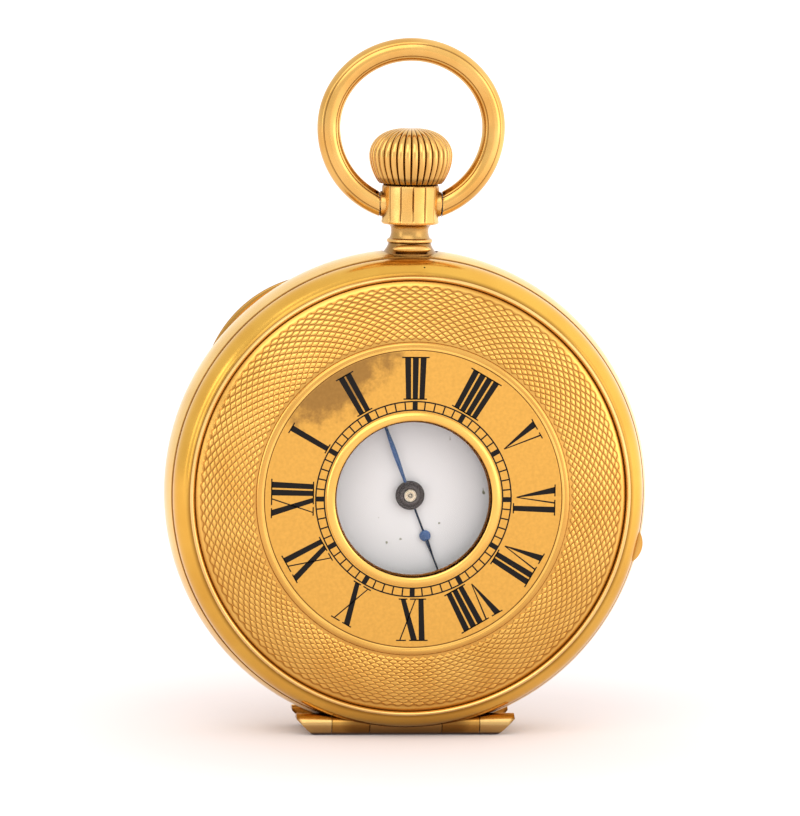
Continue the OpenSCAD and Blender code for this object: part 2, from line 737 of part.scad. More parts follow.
module mainspring_barrel() {
    color("khaki") watch() at(barrel_at, 0) difference() {
        union() {
            translate([0, 0, drum_front - drum_teeth_t]) gear(barrel_teeth, barrel_mod, drum_teeth_t);
            translate([0, 0, drum_back]) cylinder(r = drum_r, h = drum_front - drum_back);
        }
        translate([0, 0, drum_back - 1]) cylinder(r = drum_r - drum_wall, h = drum_front - drum_back + 0.75);
        cylinder(r = drum_arbor_r + 0.05, h = 4, $fn = fine);
    }
}

module barrel_lid() {
    color("khaki") watch() at(barrel_at, drum_back) difference() {
        cylinder(r = drum_r - drum_wall, h = 0.25);
        translate([0, 0, -1]) cylinder(r = drum_arbor_r + 0.25, h = 3, $fn = fine);
    }
}

module barrel_arbor() {
    bridge_back = barrel_bridge_f - barrel_bridge_t;
    color("silver") watch() at(barrel_at, 0) {
        translate([0, 0, drum_front]) cylinder(r = drum_arbor_r, h = plate_f + 0.9 - drum_front, $fn = fine);
        translate([0, 0, drum_front - 0.3]) cylinder(r = drum_arbor_r, h = 0.3 + eps, $fn = fine);
        translate([0, 0, drum_back + 0.3]) cylinder(r = core_r, h = drum_front - drum_back - 0.6, $fn = fine);
        translate([0, 0, winding_f - winding_t]) cylinder(r = drum_arbor_r + 0.2,
            h = drum_back + 0.3 - winding_f + winding_t + eps, $fn = fine);
    }
}

// Outline of a ribbon wound in a plane spiral
function spiral(r0, r1, turns, steps) =
    [for (i = [0:steps]) polar(r0 + (r1 - r0) * i / steps, 360 * turns * i / steps)];

module spiral_ribbon(r0, r1, turns, t, h) {
    steps = turns * 20;
    linear_extrude(h) polygon(concat(spiral(r0, r1, turns, steps),
        reversed(spiral(r0 + t, r1 + t, turns, steps))));
}

module mainspring() {
    color("slategray") watch() at(barrel_at, drum_back + 0.35)
        spiral_ribbon(core_r + 0.25, drum_r - drum_wall - 0.4, 8, 0.25, 0.85);
}

module ratchet_wheel() {
    color("silver") watch() at(barrel_at, winding_f - winding_t)
        gear(ratchet_teeth, barrel_mod, winding_t, drum_arbor_r + 0.2);
}

module ratchet_screw() {
    color("steelblue") watch() at(barrel_at, winding_f - winding_t) back_side() difference() {
        cylinder(r = 1.6, h = 0.3, $fn = fine);
        translate([-1.6, -0.12, 0.15]) cube([3.2, 0.24, 1]);
    }
}

module crown_wheel() {
    color("silver") watch() at(crown_wheel_at, winding_f - winding_t) rotate(crown_wheel_phase)
        gear(crown_wheel_teeth, barrel_mod, winding_t, 0.9);
}

module crown_wheel_screw() {
    color("steelblue") watch() at(crown_wheel_at, winding_f - winding_t - 0.03) {
        back_side() slotted_screw(1.5, 0.3, 0.45, 0);
        cylinder(r = 0.9 - run_gap, h = winding_t + barrel_bridge_t - 0.62 + 0.03, $fn = fine);
        cylinder(r = 0.45, h = winding_t + 0.03 + 0.65, $fn = fine);
    }
}

module click() {
    color("silver") watch() at([0, 0], winding_f - winding_t) difference() {
        union() {
            at(click_at, 0) cylinder(r = 0.75, h = winding_t - 0.02, $fn = fine);
            bar(click_at, click_tip, 0.3, winding_t - 0.02);
            bar(click_at, (click_at + click_tip) / 2 + [0.12, 0.2], 0.6, winding_t - 0.02);
        }
        at(click_at, -1) cylinder(r = arbor_r + run_gap, h = 3, $fn = fine);
    }
}

module click_screw() {
    color("steelblue") watch() at(click_at, winding_f - winding_t - 0.03) back_side()
        slotted_screw(0.75, 0.25, arbor_r, winding_t + 0.6);
}

click_spring_c = click_at + [-0.8, -1.7];
click_spring_foot = click_spring_c + polar(3.6, -62);

module click_spring() {
    color("slategray") watch() at([0, 0], winding_f - 0.3) {
        at(click_spring_c, 0) sector(3.5, 3.75, -60, 82, 0.3);
        at(click_spring_foot, 0) cylinder(r = 0.55, h = 0.3, $fn = fine);
        at(click_spring_foot, 0) cylinder(r = 0.25, h = 0.7, $fn = fine);
    }
}

module winding_pinion() {
    color("silver") watch() translate([0, winding_y, 0]) rotate([-90, 0, 0]) rotate(90) difference() {
        union() {
            gear(winding_pinion_teeth, barrel_mod, 0.9);
            translate([0, 0, 0.8]) cylinder(r = 1.5, h = 1.1, $fn = fine);
        }
        translate([0, 0, -1]) cylinder(r = stem_r + run_gap, h = 5, $fn = fine);
    }
}

// An arbor from its back pivot at level a to its front pivot in the main plate
module arbor(p, a, r, back_pivot) {
    shoulder = plate_f - 0.05;
    at(p, a + back_pivot) cylinder(r = r, h = shoulder - a - back_pivot, $fn = fine);
    at(p, a) cylinder(r = pivot_hole_r, h = plate_f + 0.8 - a, $fn = fine);
}

module center_wheel() {
    back = train_bridge_f - train_bridge_t;
    color("gold") watch() {
        at([0, 0], -1.7) crossed_wheel(center_teeth, center_mod, 0.35, 5.5, 1.4, 5, 0.6);
        at([0, 0], drum_front - drum_teeth_t) rotate(center_pinion_phase)
            gear(center_pinion_teeth, barrel_mod, drum_teeth_t);
        at([0, 0], back) cylinder(r = arbor_r, h = cannon_top - 0.1 - back, $fn = fine);
        at([0, 0], train_bridge_f + 0.05) cylinder(r = center_arbor_r, h = plate_top - train_bridge_f - 0.05, $fn = fine);
    }
}

module third_wheel() {
    color("gold") watch() {
        at(third_at, -0.5) rotate(third_phase) crossed_wheel(third_teeth, third_mod, 0.3, 4.5, 1, 5, 0.5);
        at(third_at, -1.8) rotate(third_phase) gear(third_pinion_teeth, center_mod, 0.6);
        arbor(third_at, train_bridge_f - 0.6, arbor_r, 0.65);
    }
}

module fourth_wheel() {
    color("gold") watch() {
        at(fourth_at, -1.15) rotate(fourth_phase) crossed_wheel(fourth_teeth, fourth_mod, 0.3, 4.1, 0.9, 5, 0.5);
        at(fourth_at, -0.65) rotate(fourth_phase) gear(fourth_pinion_teeth, third_mod, 0.6);
        arbor(fourth_at, train_bridge_f - 0.6, arbor_r, 0.65);
    }
}

module escape_wheel() {
    teeth = 15;
    color("silver") watch() {
        at(escape_at, -0.3) {
            difference() {
                linear_extrude(0.2) polygon([for (i = [0:teeth - 1], c = [[0.78, 0], [1, 0.62], [1, 0.72], [0.78, 0.5]])
                    polar(escape_r * c[0], 360 / teeth * (i + c[1]))]);
                translate([0, 0, -1]) cylinder(r = escape_r * 0.66, h = 3);
            }
            cylinder(r = 0.6, h = 0.2, $fn = fine);
            for (i = [0:3]) rotate(90 * i) translate([0, -0.15, 0]) cube([escape_r * 0.7, 0.3, 0.2]);
        }
        at(escape_at, -1.3) rotate(escape_phase) gear(escape_pinion_teeth, fourth_mod, 0.6);
        arbor(escape_at, escape_bridge_f - 0.35, 0.25, 0.4);
    }
}

fork_f = -0.6;
fork_t = 0.25;

module pallet_fork() {
    color("silver") watch() {
        at([0, 0], fork_f) {
            for (side = [-1, 1]) {
                stone = escape_at + polar(escape_r + 0.55, to_balance + side * 40);
                bar(fork_at, stone, 0.4, fork_t);
                at(stone, 0) rotate(to_balance + side * 40) translate([-0.2, -0.15, 0]) cube([0.45, 0.3, 0.5]);
                bar(fork_at + polar(1.9, to_balance), fork_at + polar(2.5, to_balance + side * 9), 0.2, fork_t);
            }
            bar(fork_at, fork_at + polar(1.9, to_balance), 0.3, fork_t);
        }
        arbor(fork_at, escape_bridge_f - 0.35, 0.25, 0.4);
    }
}

balance_f = -2.7;
balance_t = 0.6;

module balance_wheel() {
    color("gold") watch() at(balance_at, balance_f) {
        rotate_extrude() translate([balance_r - 0.5, 0]) square([0.5, balance_t]);
        difference() {
            union() {
                cylinder(r = 1, h = 0.3, $fn = fine);
                rotate(to_balance) translate([-balance_r + 0.3, -0.4, 0]) cube([2 * balance_r - 0.6, 0.8, 0.3]);
            }
            translate([0, 0, -1]) cylinder(r = 0.3, h = 3, $fn = fine);
        }
        for (i = [0:13]) rotate(to_balance + 360 / 28 + 360 * i / 14)
            translate([balance_r - 0.1, 0, balance_t / 2]) rotate([0, 90, 0]) cylinder(r = 0.22, h = 0.45, $fn = 16);
    }
}

module balance_staff() {
    roller_f = -1;
    color("silver") watch() {
        arbor(balance_at, cock_f - 0.4, 0.3, 0.45);
        at(balance_at, roller_f) cylinder(r = 1.1, h = 0.2, $fn = fine);
        at(balance_at + polar(0.75, to_balance + 180), roller_f) cylinder(r = 0.12, h = 0.35, $fn = 16);
    }
}

module hairspring() {
    color("steelblue") watch() at(balance_at, cock_f + 0.03)
        spiral_ribbon(0.45, 2.7, 9, ribbon_t, 0.15);
}

module regulator() {
    back = cock_f - cock_t - 0.28;
    color("silver") watch() at(balance_at, back) difference() {
        union() {
            cylinder(r = 1.5, h = 0.25, $fn = fine);
            rotate(cock_a - 150) translate([0, -regulator_w / 2, 0]) cube([4.2, regulator_w, 0.25]);
        }
        translate([0, 0, -1]) cylinder(r = 0.7, h = 3, $fn = fine);
    }
}

cannon_f = plate_top + 0.05;
hour_hand_f = dial_top + 0.3;
minute_hand_f = hour_hand_f + 0.5;
hand_t = 0.2;
cannon_top = minute_hand_f + hand_t + 0.2;
cannon_pipe_r = 0.55;
hour_bore_r = cannon_pipe_r + 0.08;

module cannon_pinion() {
    color("silver") watch() at([0, 0], cannon_f) difference() {
        union() {
            gear(cannon_teeth, cannon_mod, 0.3);
            cylinder(r = cannon_pipe_r, h = cannon_top - cannon_f, $fn = fine);
        }
        translate([0, 0, -1]) cylinder(r = arbor_r + run_gap, h = 6, $fn = fine);
    }
}

minute_stud_r = 0.3;

module minute_wheel() {
    color("gold") watch() at(minute_wheel_at, cannon_f) rotate(minute_wheel_phase) {
        gear(minute_wheel_teeth, cannon_mod, 0.25, minute_stud_r + run_gap);
        gear(minute_pinion_teeth, hour_mod, motion_gap - 0.12, minute_stud_r + run_gap);
    }
}

module hour_wheel() {
    color("gold") watch() at([0, 0], cannon_f + 0.37) difference() {
        union() {
            rotate(hour_phase) gear(hour_teeth, hour_mod, 0.3);
            cylinder(r = hour_pipe_r, h = hour_hand_f + hand_t - cannon_f - 0.37, $fn = fine);
        }
        translate([0, 0, -1]) cylinder(r = hour_bore_r, h = 6, $fn = fine);
    }
}

// A hand with two swellings: one inside the lid's window and one further out
module hand_shape(length, near, near_r, far, far_r, root_w) {
    half = root_w / 2;
    linear_extrude(hand_t) {
        polygon([[0, -half], [0, half], [near, half * 1.2], [far, 0.16], [length, 0.03],
            [length, -0.03], [far, -0.16], [near, -half * 1.2]]);
        translate([near, 0]) circle(r = near_r, $fn = fine);
        translate([far, 0]) circle(r = far_r, $fn = fine);
    }
}

module hour_hand() {
    color("midnightblue") watch() at([0, 0], hour_hand_f) difference() {
        union() {
            rotate(hour_a) hand_shape(hour_len, 4.4, 0.65, 10.2, 0.8, 0.4);
            cylinder(r = 1.45, h = hand_t);
        }
        translate([0, 0, -1]) cylinder(r = hour_pipe_r, h = 3);
    }
}

module minute_hand() {
    color("midnightblue") watch() at([0, 0], minute_hand_f) difference() {
        union() {
            rotate(minute_a) hand_shape(minute_len, 3.1, 0.4, 13.4, 0.85, 0.5);
            cylinder(r = 1.55, h = hand_t);
        }
        translate([0, 0, -1]) cylinder(r = cannon_pipe_r, h = 3, $fn = fine);
    }
}

module above_center(h) {
    translate([0, 0, case_r + h]) children();
}

sleeve_r = 1.32;
sleeve_low = pendant_top - 4.4;
pendant_edge = pendant_r - 0.15;

module pendant() {
    shoulder = pendant_top - 4.15;
    color("goldenrod") difference() {
        union() {
            above_center(0) rotate_extrude() polygon(concat(
                [[0, foot_h], [foot_r, foot_h], [foot_r, foot_h + 0.35]],
                arc_between([foot_r - 0.08, foot_h + 0.5], [neck_r + 0.05, foot_h + 1.3], -0.14, 6),
                arc_between([neck_r + 0.05, foot_h + 1.4], [neck_r + 0.05, foot_h + 1.9], 0.3, 8),
                arc_between([neck_r, foot_h + 2.05], [pendant_r - 0.3, shoulder], -0.2, 6),
                [[pendant_edge, shoulder + 0.2], [pendant_r, pendant_top - 0.3],
                [pendant_r - 0.12, pendant_top], [0, pendant_top]]));
            for (side = [0, 180]) rotate(side) above_center(pivot_h) rotate([0, 90, 0])
                cylinder(r = bow_wire / 2, h = boss_x, $fn = 48);
        }
        above_center(foot_h - 1) cylinder(r = stem_r + 0.15, h = deep);
        above_center(sleeve_low) cylinder(r = sleeve_r, h = deep);
        for (side = [0, 180]) rotate(side) above_center(pivot_h) translate([pivot_in, 0, 0])
            rotate([0, 90, 0]) cylinder(r = pivot_r + run_gap, h = 5, $fn = fine);
    }
}

boss_x = pendant_r + 0.25;
pivot_in = sleeve_r + 0.5;
bow_x = boss_x + 0.06;

module pendant_sleeve() {
    color("silver") difference() {
        above_center(sleeve_low) cylinder(r = sleeve_r - run_gap / 2, h = pendant_top - sleeve_low - 0.15);
        above_center(sleeve_low - 1) cylinder(r = stem_r + run_gap, h = deep);
    }
}

crown_low = pendant_top + crown_gap;

module winding_stem() {
    color("silver") above_center(pendant_top - stem_len) cylinder(r = stem_r, h = stem_len + crown_gap + 3.4);
}

// Rings of the crown, from its underside up over the waist to its small flat top
lower_rings = 5;
upper_rings = 8;
function crown_ring(i) = i < lower_rings
    ? let (t = i / lower_rings) [crown_base_r + (crown_r - crown_base_r) * sin(90 * t), crown_waist * t]
    : let (a = 82 * (i - lower_rings) / upper_rings)
        [crown_r * pow(cos(a), 0.85), crown_waist + (crown_h - crown_waist) * sin(a) / sin(82)];
function rib_fade(i) = i == 0 ? 0.7 : i >= lower_rings + upper_rings - 1 ? 0.3 : 1;

module crown() {
    per_rib = 4;
    n = crown_ribs * per_rib;
    m = lower_rings + upper_rings + 1;
    points = [for (i = [0:m - 1], j = [0:n - 1])
        let (ring = crown_ring(i))
        let (a = 360 * j / n)
        let (cut = min(rib_depth * rib_fade(i), ring[0] * 0.12) * (1 - cos(a * crown_ribs)) / 2)
        [(ring[0] - cut) * cos(a), (ring[0] - cut) * sin(a), ring[1]]];
    sides = [for (i = [0:m - 2], j = [0:n - 1], k = [0, 1])
        let (a = i * n + j)
        let (b = i * n + (j + 1) % n)
        k == 0 ? [a, a + n, b + n] : [a, b + n, b]];
    color("gold") above_center(crown_low) difference() {
        polyhedron(points, concat([[for (j = [0:n - 1]) j]], sides,
            [[for (j = [n - 1:-1:0]) (m - 1) * n + j]]));
        translate([0, 0, -1]) cylinder(r = stem_r + eps, h = 4.4 + eps);
    }
}

bow_end_x = bow_half_w * cos(bow_end_a) + 0.4;

module bow() {
    color("goldenrod") {
        above_center(pivot_h + bow_waist_h) rotate([90, 0, 0]) rotate(-bow_end_a)
            rotate_extrude(angle = 180 + 2 * bow_end_a, $fn = 120)
                translate([bow_half_w, 0]) circle(d = bow_wire, $fn = 32);
        both_sides() above_center(pivot_h) {
            translate([bow_x, 0, 0]) rotate([0, 90, 0]) cylinder(d = bow_wire - 0.1, h = bow_end_x - bow_x, $fn = 48);
            translate([pivot_in + 0.1, 0, 0]) rotate([0, 90, 0])
                cylinder(r = pivot_r, h = bow_x + 0.3 - pivot_in, $fn = fine);
        }
    }
}

case_middle();
pendant();
pendant_sleeve();
crown();
winding_stem();
bow();
front_cover();
window_rim();
window_crystal();
back_cover();
cuvette();
front_hinge_pin();
back_hinge_pin();
lift_spring();
lock_spring();
inner_bezel();
dial_crystal();
case_screws();
dial();
main_plate();
barrel_bridge();
train_bridge();
balance_cock();
escapement_bridge();
bridge_screws();
bearing_jewels();
mainspring_barrel();
barrel_lid();
barrel_arbor();
mainspring();
ratchet_wheel();
ratchet_screw();
crown_wheel();
crown_wheel_screw();
click();
click_screw();
click_spring();
winding_pinion();
center_wheel();
third_wheel();
fourth_wheel();
escape_wheel();
pallet_fork();
balance_wheel();
balance_staff();
hairspring();
regulator();
cannon_pinion();
minute_wheel();
hour_wheel();
hour_hand();
minute_hand();
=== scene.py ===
import math

import bmesh
import bpy
from mathutils import Matrix, Vector


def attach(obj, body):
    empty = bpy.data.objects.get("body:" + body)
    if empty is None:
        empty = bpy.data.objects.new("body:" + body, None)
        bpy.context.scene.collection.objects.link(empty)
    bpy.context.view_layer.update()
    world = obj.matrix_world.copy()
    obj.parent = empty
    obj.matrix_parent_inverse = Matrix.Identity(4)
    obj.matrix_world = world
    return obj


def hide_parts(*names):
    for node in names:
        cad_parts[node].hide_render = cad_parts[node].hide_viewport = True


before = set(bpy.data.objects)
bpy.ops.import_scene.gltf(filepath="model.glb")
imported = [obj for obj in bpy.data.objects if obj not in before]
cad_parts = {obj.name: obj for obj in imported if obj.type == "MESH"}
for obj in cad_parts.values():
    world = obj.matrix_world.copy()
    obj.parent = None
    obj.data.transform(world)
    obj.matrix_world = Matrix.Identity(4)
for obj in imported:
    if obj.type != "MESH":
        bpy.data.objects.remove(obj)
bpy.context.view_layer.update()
scene = bpy.context.scene


# ---- The camera ----
# It stands half a metre away, a little to the left of the watch and above it, as the
# photographer did, so the left and upper rims of the case show. Aimed by eye level and roll.
CASE_CENTRE = 0.025
camera_aim = Vector((-0.00072, 0, CASE_CENTRE + 0.00856))
camera_distance = 0.5
camera_azimuth = math.radians(-6.1)
camera_elevation = math.radians(5.7)
camera_roll = math.radians(0.9)

camera = bpy.data.objects.new("camera", bpy.data.cameras.new("camera"))
scene.collection.objects.link(camera)
camera.data.sensor_width = 36
camera.data.lens = 213.8
camera.data.clip_start = 0.01
level = math.cos(camera_elevation)
camera.location = camera_aim + camera_distance * Vector((
    math.sin(camera_azimuth) * level, -math.cos(camera_azimuth) * level, math.sin(camera_elevation)))
toward = (camera_aim - camera.location).to_track_quat("-Z", "Y")
camera.rotation_euler = (toward.to_matrix() @ Matrix.Rotation(camera_roll, 3, "Z")).to_euler()
scene.camera = camera
scene.view_settings.view_transform = "Standard"


# ---- The white table ----
# A matt white card that the watch stands on. It keeps the soft shadow under the case, and away
# from the shadow, most of all on the right, it glows up to plain white.
glow_from = 0.028
glow_full = 0.085
glow_level = 0.2
right_glow_from = 0.06
right_glow_full = 0.2
right_glow_level = 0.6
table_half_w = 3


def srgb(code):
    """An sRGB hex colour as the linear colour that a shader takes."""
    parts = [int(code[i:i + 2], 16) / 255 for i in (0, 2, 4)]
    return tuple(p / 12.92 if p <= 0.04045 else ((p + 0.055) / 1.055) ** 2.4 for p in parts) + (1.0,)


def add_node(tree, kind, settings=None, links=None):
    """Adds a node. A setting is a socket's name or number, or one of the node's own options."""
    node = tree.nodes.new(kind)
    for key, value in (settings or {}).items():
        if isinstance(key, str) and hasattr(node, key):
            setattr(node, key, value)
        else:
            node.inputs[key].default_value = value
    for key, socket in (links or {}).items():
        tree.links.new(socket, node.inputs[key])
    return node


def new_material(name):
    """An empty node material and its output node."""
    material = bpy.data.materials.new(name)
    material.use_nodes = True
    material.node_tree.nodes.clear()
    return material, material.node_tree, material.node_tree.nodes.new("ShaderNodeOutputMaterial")


def add_object(name, bm, material):
    """Makes a piece of the finished bmesh, with its place in its mesh."""
    mesh = bpy.data.meshes.new(name)
    bm.to_mesh(mesh)
    bm.free()
    mesh.materials.append(material)
    piece = bpy.data.objects.new(name, mesh)
    scene.collection.objects.link(piece)
    return piece


table_card, tree, output = new_material("matt_white_card")
rays = add_node(tree, "ShaderNodeLightPath")
seen = add_node(tree, "ShaderNodeMath", {"operation": "MAXIMUM"},
                {0: rays.outputs["Is Camera Ray"], 1: rays.outputs["Is Glossy Ray"]})
seen = add_node(tree, "ShaderNodeMath", {"operation": "MAXIMUM"},
                {0: seen.outputs[0], 1: rays.outputs["Is Transmission Ray"]})
place = add_node(tree, "ShaderNodeTexCoord")
away = add_node(tree, "ShaderNodeVectorMath", {"operation": "LENGTH"}, {0: place.outputs["Object"]})
far_glow = add_node(tree, "ShaderNodeMapRange",
                    {"From Min": glow_from, "From Max": glow_full, "To Min": 0.0, "To Max": glow_level},
                    {"Value": away.outputs["Value"]})
parts = add_node(tree, "ShaderNodeSeparateXYZ", {}, {0: place.outputs["Object"]})
right_glow = add_node(tree, "ShaderNodeMapRange",
                      {"From Min": right_glow_from, "From Max": right_glow_full,
                       "To Min": 0.0, "To Max": right_glow_level}, {"Value": parts.outputs["X"]})
glowing = add_node(tree, "ShaderNodeMath", {"operation": "ADD"},
                   {0: far_glow.outputs[0], 1: right_glow.outputs[0]})
lift = add_node(tree, "ShaderNodeMath", {"operation": "MULTIPLY"},
                {0: seen.outputs[0], 1: glowing.outputs[0]})
card = add_node(tree, "ShaderNodeBsdfDiffuse", {"Color": srgb("E4DCDB")})
glow = add_node(tree, "ShaderNodeEmission", {"Color": srgb("FFFAFB")}, {"Strength": lift.outputs[0]})
both = add_node(tree, "ShaderNodeAddShader", {}, {0: card.outputs[0], 1: glow.outputs[0]})
tree.links.new(both.outputs[0], output.inputs["Surface"])

bm = bmesh.new()
bmesh.ops.create_grid(bm, x_segments=1, y_segments=1, size=table_half_w)
table = add_object("table", bm, table_card)


# ---- The light ----
# A white light tent, brighter on the right and a little dimmer overhead. One large lamp stands
# high in front, a weaker one on the right, and a strip on the left.
tent_level = 1.33
tent_behind = 0.02
tent_side = 0.2
tent_right = 0.25
tent_overhead = -0.08
lamp_aim = (0, 0, 0.03)


def add_lamp(name, place, width, height, watts, colour):
    """An area lamp, its sizes in metres, turned towards the point that it lights."""
    lamp = bpy.data.objects.new(name, bpy.data.lights.new(name, "AREA"))
    lamp.data.shape = "RECTANGLE"
    lamp.data.size = width
    lamp.data.size_y = height
    lamp.data.energy = watts
    lamp.data.color = srgb(colour)[:3]
    lamp.location = place
    lamp.rotation_euler = (Vector(lamp_aim) - Vector(place)).to_track_quat("-Z", "Y").to_euler()
    scene.collection.objects.link(lamp)


add_lamp("top_softbox", (-0.22, -0.6, 0.62), 0.8, 0.6, 2.2, "FFFDFA")
add_lamp("right_softbox", (0.6, -0.45, 0.2), 0.45, 0.45, 0.8, "FFFBF5")
add_lamp("left_strip", (-0.62, -0.3, 0.2), 0.2, 0.5, 0.55, "FFFFFF")

world = bpy.data.worlds.new("light_tent")
scene.world = world
world.use_nodes = True
tree = world.node_tree
tree.nodes.clear()
rays = add_node(tree, "ShaderNodeLightPath")
direction = add_node(tree, "ShaderNodeTexCoord")
parts = add_node(tree, "ShaderNodeSeparateXYZ", {}, {0: direction.outputs["Generated"]})
depth = add_node(tree, "ShaderNodeMath", {"operation": "MULTIPLY_ADD", 1: tent_behind, 2: tent_level},
                 {0: parts.outputs["Y"]})
side = add_node(tree, "ShaderNodeMath", {"operation": "MULTIPLY_ADD", 1: tent_side},
                {0: parts.outputs["X"], 2: depth.outputs[0]})
right = add_node(tree, "ShaderNodeMath", {"operation": "MAXIMUM", 1: 0.0}, {0: parts.outputs["X"]})
side = add_node(tree, "ShaderNodeMath", {"operation": "MULTIPLY_ADD", 1: tent_right},
                {0: right.outputs[0], 2: side.outputs[0]})
over = add_node(tree, "ShaderNodeMath", {"operation": "MAXIMUM", 1: 0.0}, {0: parts.outputs["Z"]})
tent = add_node(tree, "ShaderNodeMath", {"operation": "MULTIPLY_ADD", 1: tent_overhead},
                {0: over.outputs[0], 2: side.outputs[0]})
camera_white = add_node(tree, "ShaderNodeMath", {"operation": "MAXIMUM"},
                        {0: rays.outputs["Is Camera Ray"], 1: tent.outputs[0]})
sky = add_node(tree, "ShaderNodeBackground", {"Color": srgb("FFFFFF")},
               {"Strength": camera_white.outputs[0]})
add_node(tree, "ShaderNodeOutputWorld", {}, {"Surface": sky.outputs[0]})


# ---- The gold of the case ----
# 18 carat yellow gold, turned and polished by hand. It has a warm tint, soft reflections,
# fine random scratches, and painted brown shade, with some real dirt, in corners, grooves and low down.
MM = 0.001
clouds_per_mm = 0.22
scratches_per_mm = 6
scratch_depth = 0.004


def gold_material(name, tint, deep_tint, dirt, roughness, scratch, corner_shade_reach=0.55, stains_and_shades=()):
    """Worn gold: tint on the open faces, deep_tint in cloudy patches, painted shade in hollows.

    Corners are darkened by occlusion, and grooves by the piece's own attribute: painted shade
    with some dirt. A patch is a centre, its scale, two distances from the centre in mm, and how
    dark the gold is at each. Most patches are painted shade, and some are patina."""
    material, tree, output = new_material(name)
    place = add_node(tree, "ShaderNodeTexCoord")
    clouds = add_node(tree, "ShaderNodeTexNoise", {"Scale": clouds_per_mm / MM, "Detail": 3.0},
                      {"Vector": place.outputs["Object"]})
    cloud_mask = add_node(tree, "ShaderNodeMapRange", {"From Min": 0.4, "From Max": 0.75},
                          {"Value": clouds.outputs[0]})
    worn = add_node(tree, "ShaderNodeMix", {"data_type": "RGBA", 6: srgb(tint), 7: srgb(deep_tint)},
                    {0: cloud_mask.outputs[0]})
    # Occlusion darkens the corners: painted shade, which also stands for some dirt.
    occlusion = add_node(tree, "ShaderNodeAmbientOcclusion", {"Distance": corner_shade_reach * MM, "samples": 6})
    painted_corner_shade = add_node(tree, "ShaderNodeMapRange",
                           {"From Min": 0.35, "From Max": 0.85, "To Min": 1.0, "To Max": 0.0},
                           {"Value": occlusion.outputs["AO"]})
    # The piece's own attribute darkens its grooves and gaps: painted shade, with some dirt.
    cut = add_node(tree, "ShaderNodeAttribute", {"attribute_name": "cut"})
    dirty = add_node(tree, "ShaderNodeMath", {"operation": "MAXIMUM"},
                     {0: painted_corner_shade.outputs[0], 1: cut.outputs["Fac"]})
    # Each patch darkens the gold round a centre. Most of them are painted shade.
    for centre, scale, near, far, near_darkening, far_darkening in stains_and_shades:
        shift = add_node(tree, "ShaderNodeVectorMath",
                         {"operation": "SUBTRACT", 1: [c * MM for c in centre]},
                         {0: place.outputs["Object"]})
        scaled = add_node(tree, "ShaderNodeVectorMath", {"operation": "MULTIPLY", 1: scale},
                          {0: shift.outputs[0]})
        away = add_node(tree, "ShaderNodeVectorMath", {"operation": "LENGTH"}, {0: scaled.outputs[0]})
        patch_darkening = add_node(tree, "ShaderNodeMapRange",
                         {"interpolation_type": "SMOOTHSTEP",
                          "From Min": near * MM, "From Max": far * MM,
                          "To Min": near_darkening, "To Max": far_darkening}, {"Value": away.outputs["Value"]})
        dirty = add_node(tree, "ShaderNodeMath", {"operation": "MAXIMUM"},
                         {0: dirty.outputs[0], 1: patch_darkening.outputs[0]})
    colour = add_node(tree, "ShaderNodeMix", {"data_type": "RGBA", 7: srgb(dirt)},
                      {0: dirty.outputs[0], 6: worn.outputs[2]})
    grain = add_node(tree, "ShaderNodeTexNoise", {"Scale": scratches_per_mm / MM, "Detail": 4.0},
                     {"Vector": place.outputs["Object"]})
    rough = add_node(tree, "ShaderNodeMapRange",
                     {"From Min": 0.3, "From Max": 0.7,
                      "To Min": roughness * 0.8, "To Max": roughness * 1.25},
                     {"Value": grain.outputs[0]})
    relief = add_node(tree, "ShaderNodeBump", {"Strength": scratch, "Distance": scratch_depth * MM},
                      {"Height": grain.outputs[0]})
    shader = add_node(tree, "ShaderNodeBsdfPrincipled", {"Metallic": 1.0},
                      {"Base Color": colour.outputs[2], "Roughness": rough.outputs[0],
                       "Normal": relief.outputs[0]})
    tree.links.new(shader.outputs[0], output.inputs["Surface"])
    return material


# Painted shade: the gold darkens within about 3 mm of the floor, where the case shades itself.
painted_floor_shade = ((0, 0, 0), (0, 0, 1), 0.4, 3.2, 0.6, 0.0)
root_stain = ((0, 0, 49.2), (1, 1, 1), 2.7, 4.2, 0.5, 0.0)
# Painted shade: the back lid's gold darkens beyond its edge, over the thumb lip.
painted_lip_shade = ((0, 0, 25), (1, 0, 1), 24.35, 24.6, 0.0, 0.5)
# Painted shade over the hinges at the foot of the case: along their middle and at both ends.
painted_hinge_shades = (((0, 0, 0.8), (0.28, 0, 1), 1.5, 2.5, 0.85, 0.0),
                ((11.5, 0, 1.2), (1, 0, 1), 0.5, 1.1, 0.9, 0.0),
                ((-11.5, 0, 1.2), (1, 0, 1), 0.5, 1.1, 0.9, 0.0))
polished_gold = gold_material("polished_gold", "CE9D50", "C79549", "5A3512", 0.19, 0.35,
                              stains_and_shades=(painted_floor_shade, *painted_hinge_shades))
pale_case_gold = gold_material("pale_case_gold", "E6C07C", "DEB46E", "5A3512", 0.21, 0.35,
                               stains_and_shades=(painted_floor_shade, root_stain, *painted_hinge_shades))
back_lid_gold = gold_material("back_lid_gold", "CE9D50", "C79549", "6A4A22", 0.19, 0.35,
                              stains_and_shades=(painted_floor_shade, painted_lip_shade, *painted_hinge_shades))


def dress(material, *nodes):
    """Gives CAD nodes, whose shape is right as it is, the material of the real piece."""
    for name in nodes:
        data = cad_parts[name].data
        for i in range(len(data.materials)):
            data.materials[i] = material


dress(polished_gold, "front_cover", "cuvette", "window_rim", "inner_bezel")
dress(pale_case_gold, "case_middle")
dress(back_lid_gold, "back_cover")


# ---- The engine turning ----
# Both lids carry a domed ring of barleycorn: 17 wavy lines cut one inside the other on a
# rose engine, each with 120 waves and half a wave out of step with its neighbours.
WATCH = Matrix(((1, 0, 0, 0), (0, 0, -1, 0), (0, 1, 0, 25), (0, 0, 0, 1)))
TO_FRONT = Matrix.Scale(MM, 4) @ WATCH
TO_BACK = TO_FRONT @ Matrix.Rotation(math.pi, 4, "Y")


